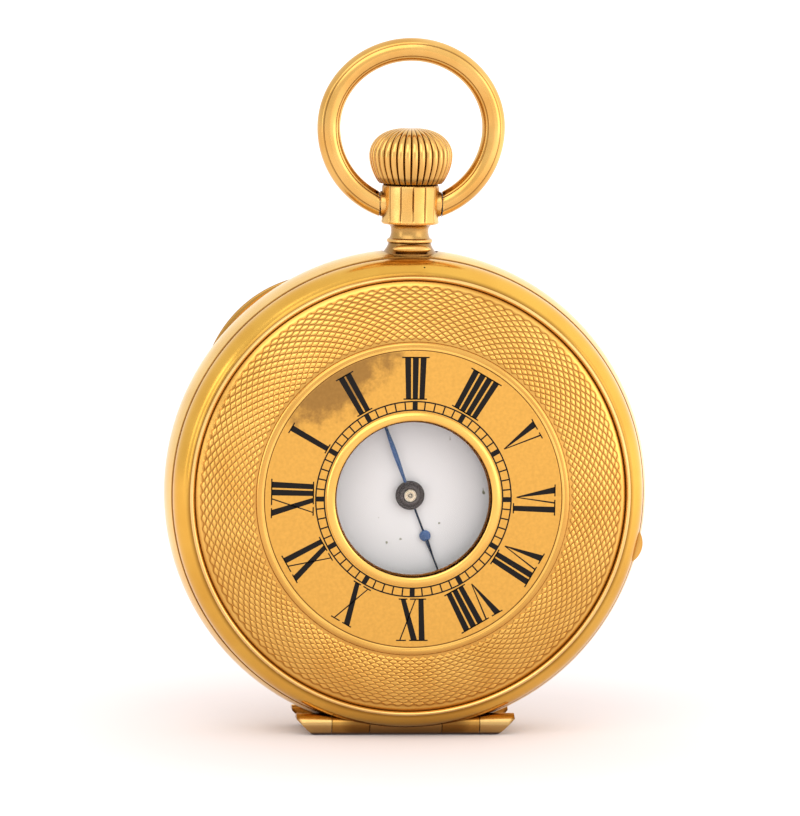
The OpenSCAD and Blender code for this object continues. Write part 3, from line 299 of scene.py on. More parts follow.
def spin_profile(bm, profile, steps):
    """Spins a closed outline of (radius, height) points once round the Z axis."""
    verts = [bm.verts.new((r, 0, f)) for r, f in profile]
    edges = [bm.edges.new((a, b)) for a, b in zip(verts, verts[1:] + verts[:1])]
    bmesh.ops.spin(bm, geom=verts + edges, cent=(0, 0, 0), axis=(0, 0, 1), dvec=(0, 0, 0),
                   angle=2 * math.pi, steps=steps, use_merge=True, use_duplicate=False)
    bmesh.ops.remove_doubles(bm, verts=bm.verts, dist=1e-5)


def add_piece(name, bm, place, material, body, sharp=30):
    """Places the bmesh on the watch, shades it smooth up to a crease angle and lets it ride."""
    bmesh.ops.transform(bm, matrix=place, verts=bm.verts)
    bmesh.ops.recalc_face_normals(bm, faces=bm.faces)
    piece = add_object(name, bm, material)
    piece.data.shade_smooth()
    piece.data.set_sharp_from_angle(angle=math.radians(sharp))
    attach(piece, body)
    return piece


lines = 17
waves = 120
steps_per_wave = 8
line_pitch = 0.32
wave_height = 0.135
cut_depth = 0.1
panel_out_r = 22.19
panel_in_r = 16.12
border_out_r = 22.16
border_lift = 0.03
first_line_r = 21.5
ground_lift = 0.012
dome_r = 13.333
dome_centre_r = 15.0857
dome_centre_f = -5.7942


def panel_height(r):
    """Height of the lid's domed panel at a radius, on the same arc as the lid itself."""
    return dome_centre_f + math.sqrt(dome_r ** 2 - (r - dome_centre_r) ** 2)


def turned_ring(bm):
    """A closed ring, bent from a grid, with pillows between wavy cuts half a wave out of step."""
    rows = [(border_out_r - (border_out_r - first_line_r) / 3 * i, None) for i in range(3)]
    rows += [(first_line_r - line_pitch * (k + t), (k, t))
             for k in range(lines) for t in (0, 0.25, 0.5, 0.75)]
    rows = [(panel_out_r, None)] + rows[:-3] + [(panel_in_r, None)]
    steps = waves * steps_per_wave
    across = len(rows) + 2
    bmesh.ops.create_grid(bm, x_segments=steps, y_segments=across, size=1)
    cut = bm.verts.layers.float.new("cut")
    for v in bm.verts:
        a = round((v.co.x + 1) / 2 * steps) % steps * 2 * math.pi / steps
        i = round((v.co.y + 1) / 2 * across) % across
        if i >= len(rows):
            r = panel_in_r if i == len(rows) else panel_out_r
            f = panel_height(r) - 0.25
        elif rows[i][1] is None:
            r = rows[i][0]
            f = panel_height(r) + (border_lift if 0 < i < len(rows) - 1 else -0.1)
            # Painted shade darkens the outer rows, next to the bead.
            v[cut] = max(0.0, 0.75 - (panel_out_r - r) * 1.4)
        else:
            r, (k, t) = rows[i]
            swing = wave_height * math.cos(waves * a + math.pi * k)
            next_swing = -swing if k < lines - 1 else 0
            width = line_pitch + swing * (1 if k == lines - 1 else 2)
            r += swing * (1 - t) + next_swing * t
            crown = 1 - abs(2 * t - 1) ** 1.6 if k < lines - 1 else t
            pillow = cut_depth * crown * min(1.0, 0.3 + 0.5 * width / line_pitch)
            f = panel_height(r) + ground_lift + pillow
            # Painted shade, with some dirt, darkens the cuts between the pillows.
            v[cut] = 0.9 * (1 - crown)
        v.co = (r * math.cos(a), r * math.sin(a), f)
    bmesh.ops.remove_doubles(bm, verts=bm.verts, dist=1e-5)


turned_gold = gold_material("engine_turned_gold", "E8B861", "DEAA54", "84480E", 0.2, 0.2, 0.2)

ring = bmesh.new()
turned_ring(ring)
for name, place, body in (("front_engine_turning", TO_FRONT, "front_lid"),
                          ("back_engine_turning", TO_BACK, "back_lid")):
    add_piece(name, ring.copy(), place, turned_gold, body)
ring.free()


# ---- The polished rims of the lids ----
# Each lid has a plain rounded border, which dips in a cove to the bead. It is spun from sheet
# and polished. Its edge at the seam and its cove are painted brown as shade, and a small black
# sphere on the front one is painted shade for a pit.
rim_gold = gold_material("rim_gold", "D6A549", "CE9A40", "5A3512", 0.18, 0.3, 0.3,
                         (painted_floor_shade, root_stain))
ring_steps = 480
bead_out_r = 22.67
bead_in_r = 22.2


def arc_points(start, end, sagitta, count):
    """Points from start to end on a shallow arc that bulges outward by the sagitta."""
    run = Vector(end) - Vector(start)
    bulge = Vector((-run.y, run.x)).normalized() * -sagitta
    return [tuple(Vector(start) + run * t + bulge * 4 * t * (1 - t))
            for t in (i / count for i in range(count + 1))]


bm = bmesh.new()
cut = bm.verts.layers.float.new("cut")
outline = [(24.2, 2.97), (24.31, 2.97), (24.31, 3.03), *arc_points((24.3, 3.08), (23.1, 5.2), 0.29, 14),
           (22.98, 5.33), (22.87, 5.4), (22.76, 5.46),
           (bead_out_r, 5.52), (bead_out_r - 0.1, 5.5), (bead_out_r - 0.1, 5.3)]
spin_profile(bm, outline, ring_steps)
for v in bm.verts:
    r = math.hypot(v.co.x, v.co.y)
    # Painted shade: dark at the lid's edge by the seam, and browner in the cove next to the bead.
    cove = max(0.0, 1 - abs(r - bead_out_r - 0.03) / 0.35)
    v[cut] = 0.9 if v.co.z < 3.04 else 0.7 * cove
for name, place, body in (("front_lid_rim", TO_FRONT, "front_lid"),
                          ("back_lid_rim", TO_BACK, "back_lid")):
    add_piece(name, bm.copy(), place, rim_gold, body, 50)
bm.free()

# A tiny black sphere on the front rim is painted shade for a small pit.
pit_place = Matrix.Translation((1.05, 23.42, 4.86))
pit = bmesh.new()
bmesh.ops.create_uvsphere(pit, u_segments=16, v_segments=8, radius=0.1, matrix=pit_place)
painted_pit_shade = gold_material("painted_pit_shade", "2A180A", "20120A", "1A0E06", 0.6, 0.1)
add_piece("rim_pit", pit, TO_FRONT, painted_pit_shade, "front_lid")


# ---- The seams ----
# Between each lid and the band runs a hair-thin gap. A thin brown ring on the edge of the
# band is painted shadow for that gap.
bm = bmesh.new()
spin_profile(bm, [(24.2, 2.84), (24.2, 2.98), (24.33, 2.97), (24.42, 2.9), (24.42, 2.84)], ring_steps)
# The ring's brown is painted shadow for the gap.
seam_shadow_paint = gold_material("painted_shadow_in_the_seam", "A07234", "8A5E28", "3A240E", 0.5, 0.2)
for name, place in (("front_seam", TO_FRONT), ("back_seam", TO_BACK)):
    add_piece(name, bm.copy(), place, seam_shadow_paint, "case")
bm.free()


# ---- The beads ----
# A thin half-round wire of gold frames the engine turning of each lid. It stands up, so the
# It stands up. Its gold is
# painted paler as highlight, and a dark line where it meets the turning is painted shade.
bm = bmesh.new()
cut = bm.verts.layers.float.new("cut")
spin_profile(bm, [(bead_out_r, 5.3), *arc_points((bead_out_r, 5.6), (bead_in_r, 5.66), 0.24, 14),
                  (bead_in_r, 5.3)], ring_steps)
for v in bm.verts:
    # Painted shade along the inner foot of the bead.
    v[cut] = 0.85 if math.hypot(v.co.x, v.co.y) < bead_in_r + 0.004 else 0
# A paler gold than the rims: painted highlight.
bead_gold_with_highlight = gold_material("bead_gold_painted_highlight", "E7BD75", "DFB168", "5A3512", 0.2, 0.2, 0.12,
                          (painted_floor_shade,))
for name, place, body in (("front_bead", TO_FRONT, "front_lid"), ("back_bead", TO_BACK, "back_lid")):
    add_piece(name, bm.copy(), place, bead_gold_with_highlight, body, 50)
bm.free()


# ---- The back lid's thumb lip ----
# A long crescent of gold at the upper left, by which a nail lifts the back lid. It is soldered
# to the lid's edge and filed round.
lip_half_w = 6.3
lip_tip_r = 25.27
lip_in_r = 24.2
lip_front_f = -2.97
lip_thick = 0.62
lip_turn = Matrix.Rotation(math.radians(131.6), 3, "Z")
lip_steps = 28
edge_r = 24.42
sagitta = lip_tip_r - math.sqrt(edge_r ** 2 - lip_half_w ** 2)
lip_arc_r = (lip_half_w ** 2 + sagitta ** 2) / (2 * sagitta)
bm = bmesh.new()
outside = []
inside = []
for i in range(lip_steps + 1):
    y = lip_half_w * (2 * i / lip_steps - 1)
    x = lip_tip_r - lip_arc_r + math.sqrt(lip_arc_r ** 2 - y ** 2)
    outside.append(bm.verts.new((x, y, lip_front_f)))
    inside.append(bm.verts.new((math.sqrt(lip_in_r ** 2 - y ** 2), y, lip_front_f)))
strip = [bm.faces.new((outside[i], outside[i + 1], inside[i + 1], inside[i])) for i in range(lip_steps)]
wall = bmesh.ops.extrude_face_region(bm, geom=strip, use_keep_orig=True)
low = [v for v in wall["geom"] if isinstance(v, bmesh.types.BMVert)]
bmesh.ops.translate(bm, vec=(0, 0, -lip_thick), verts=low)
outer_edges = [e for e in bm.edges if abs(e.verts[0].co.z - e.verts[1].co.z) < 0.01
               and abs(e.verts[0].co.y - e.verts[1].co.y) > 0.01
               and min(math.hypot(v.co.x, v.co.y) for v in e.verts) > lip_in_r + 0.1]
bmesh.ops.bevel(bm, geom=outer_edges, offset=0.16, segments=3, profile=0.5, affect="EDGES", material=-1)
bmesh.ops.rotate(bm, cent=(0, 0, 0), matrix=lip_turn, verts=bm.verts)
# The lip takes the back lid's gold, which is painted darker brown there as shade.
add_piece("back_lid_lip", bm, TO_FRONT, back_lid_gold, "back_lid", 50)


# ---- The chapter plate ----
# The flat ring round the window carries the hours. It is left with the fine grain of the
# stone, so it is duller than the rims, and it has tarnished brown towards the upper left.
plateau_f = 7.7
plate_top = plateau_f + 0.03
plate_out_r = 15.17
plate_in_r = 8.8


def chapter_material():
    """Stoned gold with a ragged brown patch of tarnish, about 16 mm long and 8 mm wide."""
    material, tree, output = new_material("grained_gold")
    place = add_node(tree, "ShaderNodeTexCoord")
    grain = add_node(tree, "ShaderNodeTexNoise", {"Scale": 3.0 / MM, "Detail": 4.0},
                     {"Vector": place.outputs["Object"]})
    spot = add_node(tree, "ShaderNodeMapping",
                    {"vector_type": "TEXTURE", "Location": (-8.2 * MM, -7.7 * MM, 37.2 * MM),
                     "Rotation": (0, math.radians(-35), 0), "Scale": (8.2 * MM, 20 * MM, 3.9 * MM)},
                    {"Vector": place.outputs["Object"]})
    reach = add_node(tree, "ShaderNodeVectorMath", {"operation": "LENGTH"}, {0: spot.outputs[0]})
    ragged = add_node(tree, "ShaderNodeTexNoise",
                      {"Scale": 0.55 / MM, "Detail": 5.0, "Roughness": 0.65},
                      {"Vector": place.outputs["Object"]})
    edge = add_node(tree, "ShaderNodeMath", {"operation": "MULTIPLY_ADD", 1: 1.5, 2: -0.75},
                    {0: ragged.outputs[0]})
    uneven = add_node(tree, "ShaderNodeMath", {"operation": "ADD"},
                      {0: reach.outputs["Value"], 1: edge.outputs[0]})
    tarnish = add_node(tree, "ShaderNodeMapRange",
                       {"interpolation_type": "SMOOTHSTEP", "From Min": 0.5, "From Max": 1.05,
                        "To Min": 0.9, "To Max": 0.0}, {"Value": uneven.outputs[0]})
    colour = add_node(tree, "ShaderNodeMix",
                      {"data_type": "RGBA", 6: srgb("D19E4B"), 7: srgb("8D6838")},
                      {0: tarnish.outputs[0]})
    speck = add_node(tree, "ShaderNodeMapRange",
                     {"From Min": 0.3, "From Max": 0.7, "To Min": 0.93, "To Max": 1.06},
                     {"Value": grain.outputs[0]})
    mottled = add_node(tree, "ShaderNodeMix", {"data_type": "RGBA", "blend_type": "MULTIPLY", 0: 1.0},
                       {6: colour.outputs[2], 7: speck.outputs[0]})
    relief = add_node(tree, "ShaderNodeBump", {"Strength": 0.3, "Distance": scratch_depth * MM},
                      {"Height": grain.outputs[0]})
    shader = add_node(tree, "ShaderNodeBsdfPrincipled", {"Metallic": 1.0, "Roughness": 0.3},
                      {"Base Color": mottled.outputs[2], "Normal": relief.outputs[0]})
    tree.links.new(shader.outputs[0], output.inputs["Surface"])
    return material


grained_gold = chapter_material()
bm = bmesh.new()
spin_profile(bm, [(plate_out_r, plateau_f - 0.1), (plate_out_r, plateau_f + 0.012),
                  (plate_out_r - 0.03, plate_top), (plate_in_r, plate_top),
                  (plate_in_r, plateau_f - 0.1)], 240)
add_piece("chapter_plate", bm, TO_FRONT, grained_gold, "front_lid")


# ---- The numerals and minute ring ----
# Roman hours and a minute ring, cut into the plate and filled with black enamel, which is
# fired and stoned back almost flush. The hours stand on the plate with their feet inward.
# The dial's white enamel is made the same way, so its height is set here too.
dial_top = 3.4
enamel_low = plateau_f - 0.02
enamel_top = plateau_f + 0.042
hour_in_r = 10.25
hour_out_r = 14.5
stroke_w = 0.57
stroke_gap = 0.17
hair_w = 0.13
letter_width = {"I": stroke_w, "V": 1.75, "X": 1.8}
hours = ["XII", "I", "II", "III", "IIII", "V", "VI", "VII", "VIII", "IX", "X", "XI"]
twelve_at = 180


def enamel_material(name, colour, outer_painted_darker, fleck, roughness, coat, shine):
    """Glass enamel with faint dust specks fired into it. Its middle is painted lighter than the
    outside, as painted light.
    """
    material, tree, output = new_material(name)
    place = add_node(tree, "ShaderNodeTexCoord")
    dust = add_node(tree, "ShaderNodeTexNoise", {"Scale": 1.1 / MM, "Detail": 1.0},
                    {"Vector": place.outputs["Object"]})
    mask = add_node(tree, "ShaderNodeMapRange", {"From Min": 0.76, "From Max": 0.8},
                    {"Value": dust.outputs[0]})
    middle = add_node(tree, "ShaderNodeVectorMath",
                      {"operation": "DISTANCE", 1: (0, -dial_top * MM, 25 * MM)},
                      {0: place.outputs["Object"]})
    away = add_node(tree, "ShaderNodeMapRange", {"From Min": 7.5 * MM, "From Max": 12.5 * MM},
                    {"Value": middle.outputs["Value"]})
    base = add_node(tree, "ShaderNodeMix", {"data_type": "RGBA", 6: srgb(colour), 7: srgb(outer_painted_darker)},
                    {0: away.outputs[0]})
    body = add_node(tree, "ShaderNodeMix", {"data_type": "RGBA", 7: srgb(fleck)},
                    {0: mask.outputs[0], 6: base.outputs[2]})
    ripple = add_node(tree, "ShaderNodeTexNoise", {"Scale": 0.35 / MM, "Detail": 1.0},
                      {"Vector": place.outputs["Object"]})
    relief = add_node(tree, "ShaderNodeBump", {"Strength": 0.15, "Distance": 0.02 * MM},
                      {"Height": ripple.outputs[0]})
    shader = add_node(tree, "ShaderNodeBsdfPrincipled",
                      {"Roughness": roughness, "Coat Weight": coat, "Coat Roughness": 0.08,
                       "Specular IOR Level": shine},
                      {"Base Color": body.outputs[2], "Normal": relief.outputs[0]})
    tree.links.new(shader.outputs[0], output.inputs["Surface"])
    return material


black_enamel = enamel_material("black_enamel", "100C0A", "100C0A", "2A2018", 0.5, 0.0, 0.15)


def add_stroke(bm, start, end, start_w, end_w, low, top):
    """One stroke between two (across, out) points, as a thin flat-topped bar."""
    side = Vector((1, 0, 0))
    run = Vector((end[0] - start[0], end[1] - start[1], 0))
    middle = Vector(((start[0] + end[0]) / 2, (start[1] + end[1]) / 2, (low + top) / 2))
    box = Matrix((side, run, Vector((0, 0, top - low)))).transposed().to_4x4()
    made = bmesh.ops.create_cube(bm, size=1, matrix=Matrix.Translation(middle) @ box)["verts"]
    for v in made:
        t = ((v.co.y - start[1]) / run.y) if abs(run.y) > 1e-6 else 0.5
        line_x = start[0] + run.x * t
        v.co.x = line_x + (v.co.x - line_x) * (start_w + (end_w - start_w) * t)
    return made


def add_bar(bm, left, right, out, low, top):
    """A hair line across the end of a stroke."""
    width = right - left
    mid = (left + right) / 2
    return add_stroke(bm, (mid, out - hair_w / 2), (mid, out + hair_w / 2), width, width, low, top)


def add_hour(bm, text, angle, in_r, out_r, low, top):
    """One Roman hour, its strokes a little wider apart towards the rim of the plate."""
    total = sum(letter_width[c] for c in text) + stroke_gap * (len(text) - 1)
    across = -total / 2
    verts = []
    for c in text:
        w = letter_width[c]
        left, mid, right = across, across + w / 2, across + w
        if c == "I":
            verts += add_stroke(bm, (mid, in_r), (mid, out_r), stroke_w, stroke_w, low, top)
            verts += add_bar(bm, left - 0.28, right + 0.28, in_r, low, top)
            verts += add_bar(bm, left - 0.28, right + 0.28, out_r, low, top)
        elif c == "V":
            foot = in_r + 0.07 * (out_r - in_r)
            verts += add_stroke(bm, (mid + 0.1, foot), (left + stroke_w * 0.55, out_r),
                                0.1, stroke_w * 1.1, low, top)
            verts += add_stroke(bm, (mid + 0.12, foot), (right - 0.2, out_r),
                                hair_w * 0.8, hair_w * 1.2, low, top)
            verts += add_bar(bm, left - 0.22, mid + 0.05, out_r, low, top)
            verts += add_bar(bm, right - 0.5, right + 0.15, out_r, low, top)
        else:
            verts += add_stroke(bm, (right - stroke_w * 0.5, in_r), (left + stroke_w * 0.5, out_r),
                                stroke_w * 0.95, stroke_w * 1.05, low, top)
            verts += add_stroke(bm, (left + 0.15, in_r), (right - 0.15, out_r),
                                hair_w, hair_w, low, top)
            for end in (in_r, out_r):
                verts += add_bar(bm, left - 0.2, mid - 0.15, end, low, top)
                verts += add_bar(bm, mid + 0.15, right + 0.2, end, low, top)
        across += w + stroke_gap
    mid_r = (in_r + out_r) / 2
    for v in verts:
        v.co.x *= 1 + 0.035 * (v.co.y - mid_r)
    turn = Matrix.Rotation(math.radians(angle - 90), 3, "Z")
    bmesh.ops.rotate(bm, cent=(0, 0, 0), matrix=turn, verts=verts)


bm = bmesh.new()
for i, text in enumerate(hours):
    add_hour(bm, text, twelve_at - 30 * i, hour_in_r, hour_out_r, enamel_low, enamel_top)
add_piece("hour_numerals", bm, TO_FRONT, black_enamel, "front_lid")


def add_minute_ring(bm, out_r, in_r, line_w, block_w, low, top):
    """Two circles joined by sixty ticks, with a block at each hour."""
    for r in (out_r, in_r):
        spin_profile(bm, [(r - line_w / 2, low), (r + line_w / 2, low),
                          (r + line_w / 2, top), (r - line_w / 2, top)], 180)
    for i in range(60):
        width = block_w if i % 5 == 0 else line_w
        verts = add_stroke(bm, (0, in_r), (0, out_r), width, width, low, top - 0.002)
        turn = Matrix.Rotation(math.radians(6 * i), 3, "Z")
        bmesh.ops.rotate(bm, cent=(0, 0, 0), matrix=turn, verts=verts)


bm = bmesh.new()
add_minute_ring(bm, 10.0, 9.13, 0.145, 0.52, enamel_low, enamel_top)
add_piece("minute_ring", bm, TO_FRONT, black_enamel, "front_lid")


# ---- The ridge round the plate ----
# A low rounded ridge closes the plate off from the engine turning. Just inside it, a thin dark
# flat ring is painted shade for a groove, with some tarnish.
# A thin dark flat ring: painted shade for a groove, with some tarnish.
groove_shade_ring = gold_material("painted_groove_shade", "7A5528", "5F3F1C", "3A240E", 0.45, 0.2)
bm = bmesh.new()
spin_profile(bm, [(15.16, plateau_f - 0.1), (15.27, plateau_f - 0.1), (15.27, plateau_f + 0.012),
                  (15.16, plateau_f + 0.012)], 240)
add_piece("chapter_groove", bm, TO_FRONT, groove_shade_ring, "front_lid")
bm = bmesh.new()
spin_profile(bm, arc_points((15.62, plateau_f - 0.02), (15.28, plateau_f + 0.02), 0.03, 6)
             + [(15.28, plateau_f - 0.1), (15.62, plateau_f - 0.15)], 240)
add_piece("chapter_ridge", bm, TO_FRONT, turned_gold, "front_lid")


# ---- The window bezel ----
# A plain rounded gold bezel frames the small glass, and the seat just inside it is painted
# brown as shade. It is rolled over the edge of the lid's window.
bm = bmesh.new()
spin_profile(bm, [(8.94, plateau_f - 0.1), (8.94, 7.8)] + arc_points((8.92, 7.88), (8.1, 8.0), 0.13, 12)
             + [(8.05, 7.94), (8.05, 7.68), (8.3, 7.66)], 240)
add_piece("window_bezel", bm, TO_FRONT, turned_gold, "front_lid")
bm = bmesh.new()
cut = bm.verts.layers.float.new("cut")
spin_profile(bm, [(7.82, 6.75), (7.82, 7.02), (8.19, 7.16), (8.19, 6.75)], 240)
# Painted shade on the seat's wall, inside the window.
for v in bm.verts:
    v[cut] = 0.6
add_piece("window_seat", bm, TO_FRONT, polished_gold, "front_lid")


# ---- The glasses ----
# Two thin domed watch glasses: a small one in the lid and a large one over the dial. They
# are clear, so they show only as a faint sheen.
def glass_material():
    """Clear glass with a faint sheen that grows where it is seen at a slant."""
    material, tree, output = new_material("watch_glass")
    clear = add_node(tree, "ShaderNodeBsdfTransparent", {"Color": srgb("FFFFFF")})
    sheen = add_node(tree, "ShaderNodeBsdfGlossy", {"Color": srgb("FFFFFF"), "Roughness": 0.03})
    tilt = add_node(tree, "ShaderNodeLayerWeight", {"Blend": 0.5})
    steep = add_node(tree, "ShaderNodeMath", {"operation": "POWER", 1: 5.0},
                     {0: tilt.outputs["Facing"]})
    share = add_node(tree, "ShaderNodeMath", {"operation": "MULTIPLY_ADD", 1: 0.8, 2: 0.006},
                     {0: steep.outputs[0]})
    mix = add_node(tree, "ShaderNodeMixShader", {},
                   {0: share.outputs[0], 1: clear.outputs[0], 2: sheen.outputs[0]})
    tree.links.new(mix.outputs[0], output.inputs["Surface"])
    return material


dress(glass_material(), "window_crystal", "dial_crystal")


# ---- The dial ----
# White enamel fired on a copper disc, its hours and minutes painted in black. Only the
# middle shows through the window; the rest shows when the lid is opened.
paint_low = dial_top - 0.01
paint_top = dial_top + 0.012
# The dial's middle is painted lighter than its outer part: painted light that makes up for the shade of
# the lid's window.
dress(enamel_material("white_enamel", "FBFAFA", "DBD8D4", "8C8A6E", 0.3, 0.1, 0.5), "dial")

bm = bmesh.new()
for i, text in enumerate(hours):
    add_hour(bm, text, twelve_at - 30 * i, 13.0, 17.4, paint_low, paint_top)
add_minute_ring(bm, 19.6, 18.7, 0.085, 0.45, paint_low, paint_top)
add_piece("dial_painting", bm, TO_FRONT, black_enamel, "case")


# ---- The hands ----
# Double spade hands sawn from thin steel, domed and fired blue, with dark bosses. A small
# brass collar shows at the middle.
def steel_material(name, colour, edge_colour, roughness):
    """Steel with a fire colour that drifts a little along the piece, and fine grain."""
    material, tree, output = new_material(name)
    place = add_node(tree, "ShaderNodeTexCoord")
    drift = add_node(tree, "ShaderNodeTexNoise", {"Scale": 0.5 / MM, "Detail": 2.0},
                     {"Vector": place.outputs["Object"]})
    tint = add_node(tree, "ShaderNodeMix", {"data_type": "RGBA", 6: srgb(colour), 7: srgb(edge_colour)},
                    {0: drift.outputs[0]})
    grain = add_node(tree, "ShaderNodeTexNoise", {"Scale": 14 / MM, "Detail": 2.0},
                     {"Vector": place.outputs["Object"]})
    relief = add_node(tree, "ShaderNodeBump", {"Strength": 0.25, "Distance": 0.002 * MM},
                      {"Height": grain.outputs[0]})
    shader = add_node(tree, "ShaderNodeBsdfPrincipled", {"Metallic": 1.0, "Roughness": roughness},
                      {"Base Color": tint.outputs[2], "Normal": relief.outputs[0]})
    tree.links.new(shader.outputs[0], output.inputs["Surface"])
    return material


blued_steel = steel_material("blued_steel", "4A6796", "3C506E", 0.3)
boss_steel = gold_material("dark_boss_steel", "5E5856", "4C4644", "1A1614", 0.3, 0.2, 0.1)
collar_brass = gold_material("collar_brass", "D3C8B4", "C5B698", "3A332C", 0.25, 0.2, 0.1)
pale_brass = steel_material("pale_brass", "F1E6CC", "E2D2AE", 0.25)


def add_hand(bm, widths, angle, low, thick):
    """A flat hand from (distance, half width) pairs, with a slightly raised middle line."""
    bmesh.ops.create_grid(bm, x_segments=len(widths) - 1, y_segments=2, size=1)
    step = 2 / (len(widths) - 1)
    for v in bm.verts:
        along, half = widths[round((v.co.x + 1) / step)]
        v.co = (along, v.co.y * half, low + thick * (1 if abs(v.co.y) < 0.5 else 0.55))
    made = bmesh.ops.extrude_face_region(bm, geom=bm.faces[:])
    for v in [g for g in made["geom"] if isinstance(g, bmesh.types.BMVert)]:
        v.co.z = low
    turn = Matrix.Rotation(math.radians(angle), 3, "Z")
    bmesh.ops.rotate(bm, cent=(0, 0, 0), matrix=turn, verts=bm.verts)


def spade(at, radius, arm):
    """Outline of a round swelling on the arm, as (distance, half width) pairs."""
    return [(at - radius * math.cos(math.pi * i / 12), max(arm, radius * math.sin(math.pi * i / 12)))
            for i in range(1, 12)]


minute_angle = 110.4
hour_angle = -68.6
minute_hand_f = 4.2
hour_hand_f = 3.7
hand_thick = 0.2
minute_outline = [(1.2, 0.15), (2.0, 0.16), (3.2, 0.21), (4.4, 0.25), (5.4, 0.24), (6.6, 0.18),
                  (8.0, 0.13), (12.4, 0.12), *spade(13.4, 0.8, 0.12),
                  (14.6, 0.2), (16.2, 0.11), (18.4, 0.025)]
hour_outline = [(1.1, 0.11), (2.4, 0.095), (3.8, 0.1), *spade(4.55, 0.58, 0.1),
                (5.25, 0.19), (5.8, 0.15), (6.6, 0.09), (9.2, 0.08), *spade(10.2, 0.8, 0.085),
                (11.3, 0.16), (12.6, 0.025)]

for node, outline, angle, low, body in (
        ("minute_hand", minute_outline, minute_angle, minute_hand_f, "minute"),
        ("hour_hand", hour_outline, hour_angle, hour_hand_f, "hour")):
    bm = bmesh.new()
    add_hand(bm, outline, angle, low, hand_thick)
    hand = add_piece(node + "_blue", bm, TO_FRONT, blued_steel, body)
    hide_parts(node)

bm = bmesh.new()
spin_profile(bm, [(0.5, 4.18), (1.46, 4.18), (1.5, 4.24), (1.46, 4.36), (1.36, 4.4), (1.22, 4.4),
                  (1.16, 4.37), (1.1, 4.4), (1.02, 4.4), (0.96, 4.48), (0.9, 4.5), (0.78, 4.5),
                  (0.72, 4.47), (0.66, 4.47), (0.5, 4.47)], 96)
cut = bm.verts.layers.float.new("cut")
for v in bm.verts:
    r = math.hypot(v.co.x, v.co.y)
    # Painted shade darkens the boss's rim, its groove and its hole, and half darkens its outer step.
    v[cut] = 0.9 if r > 1.4 or abs(r - 1.16) < 0.02 or r < 0.73 else 0.45 if r > 1 else 0
add_piece("minute_boss", bm, TO_FRONT, boss_steel, "minute")
bm = bmesh.new()
spin_profile(bm, [(0.98, 3.7), (1.4, 3.7), (1.4, 3.86), (1.32, 3.92), (0.98, 3.92)], 96)
add_piece("hour_boss", bm, TO_FRONT, boss_steel, "hour")
bm = bmesh.new()
cut = bm.verts.layers.float.new("cut")
spin_profile(bm, [(0.02, 4.45), (0.02, 4.67), (0.1, 4.67), (0.13, 4.6), (0.2, 4.6), (0.23, 4.66),
                  (0.37, 4.66), (0.4, 4.58), (0.46, 4.58), (0.49, 4.65), (0.61, 4.65), (0.65, 4.6),
                  (0.65, 4.45)], 64)
for v in bm.verts:
    # Painted shade in the collar's groove.
    v[cut] = 0.8 if 4.57 < v.co.z < 4.61 and math.hypot(v.co.x, v.co.y) < 0.5 else 0
add_piece("hand_collar", bm, TO_FRONT, collar_brass, "minute", 20)
dress(pale_brass, "cannon_pinion")


# ---- The crown ----
# An onion-shaped winding crown turned from gold, with 34 round ribs that run together at
# the top. The grooves between them and its foot are painted dark: shade, with some dirt.
TO_UPRIGHT = Matrix.Scale(MM, 4) @ Matrix.Translation((0, 0, 25))
crown_low = 32.35
crown_tall = 5.1
crown_waist = 2.3
crown_r = 4.3
crown_skirt = 0.58
skirt_in_r = 3.06
skirt_out_r = 3.24
crown_ribs = 34
rib_depth = 0.34
crown_rows = 30
top_turn = math.radians(84)

pale_gold = gold_material("pale_worn_gold", "D6A960", "C9974C", "5E3808", 0.17, 0.3, 0.35)


def crown_outline(t):
    """Radius and height of the crown's side, from the foot of its skirt at 0 to its top at 1."""
    if t < 0.4:
        s = t / 0.4
        return (skirt_out_r + (crown_r - skirt_out_r) * math.sin(s * math.pi / 2) ** 0.8,
                -crown_skirt + (crown_waist + crown_skirt) * s)
    a = (t - 0.4) / 0.6 * top_turn
    return (crown_r * math.cos(a) ** 0.78,
            crown_waist + (crown_tall - crown_waist) * math.sin(a) / math.sin(top_turn))


bm = bmesh.new()
cut = bm.verts.layers.float.new("cut")
profile = [crown_outline(i / crown_rows) for i in range(crown_rows + 1)]
spin_profile(bm, [(0.8, 0.0), (0.8, -0.75), (1.3, -0.75), (1.3, 0.0), (skirt_in_r, 0.0),
                  (skirt_in_r, -crown_skirt), *profile, (0.12, crown_tall)], crown_ribs * 10)
for v in bm.verts:
    r = math.hypot(v.co.x, v.co.y)
    if r < 3.1 and v.co.z < crown_waist:
        continue
    across = (math.atan2(v.co.y, v.co.x) * crown_ribs / (2 * math.pi)) % 1
    rib = math.sqrt(max(0.0, 1 - (2 * across - 1) ** 2))
    # Painted shade, with some dirt, in the grooves between the ribs and at the foot of the crown.
    v[cut] = max(0.0, 1 - rib * 1.15) + (0.5 if v.co.z < 0.05 else 0)
    depth = min(rib_depth, r * 0.13, max(0.18, (r - skirt_in_r) * 0.6) if v.co.z < crown_waist else 1.0)
    shrink = (r - depth * (1 - rib)) / r
    v.co.x *= shrink
    v.co.y *= shrink
bmesh.ops.translate(bm, vec=(0, 0, crown_low), verts=bm.verts)
crown = add_piece("ribbed_crown", bm, TO_UPRIGHT, pale_gold, "crown", 40)
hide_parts("crown")


# ---- The pendant ----
# The neck of the case: a turned foot, a bead, a narrow neck and a barrel with fourteen flat
# faces. It is soldered to the band, and holds the bow's two bosses.
pendant_gold = gold_material("pendant_gold", "DEB168", "D09E50", "5C3612", 0.28, 0.35, 1.6)
foot_h = 24.2
neck_r = 1.93
barrel_r = 2.95
pendant_top = 31.75
facets = 14
boss_x = 3.2
boss_h = 29.65

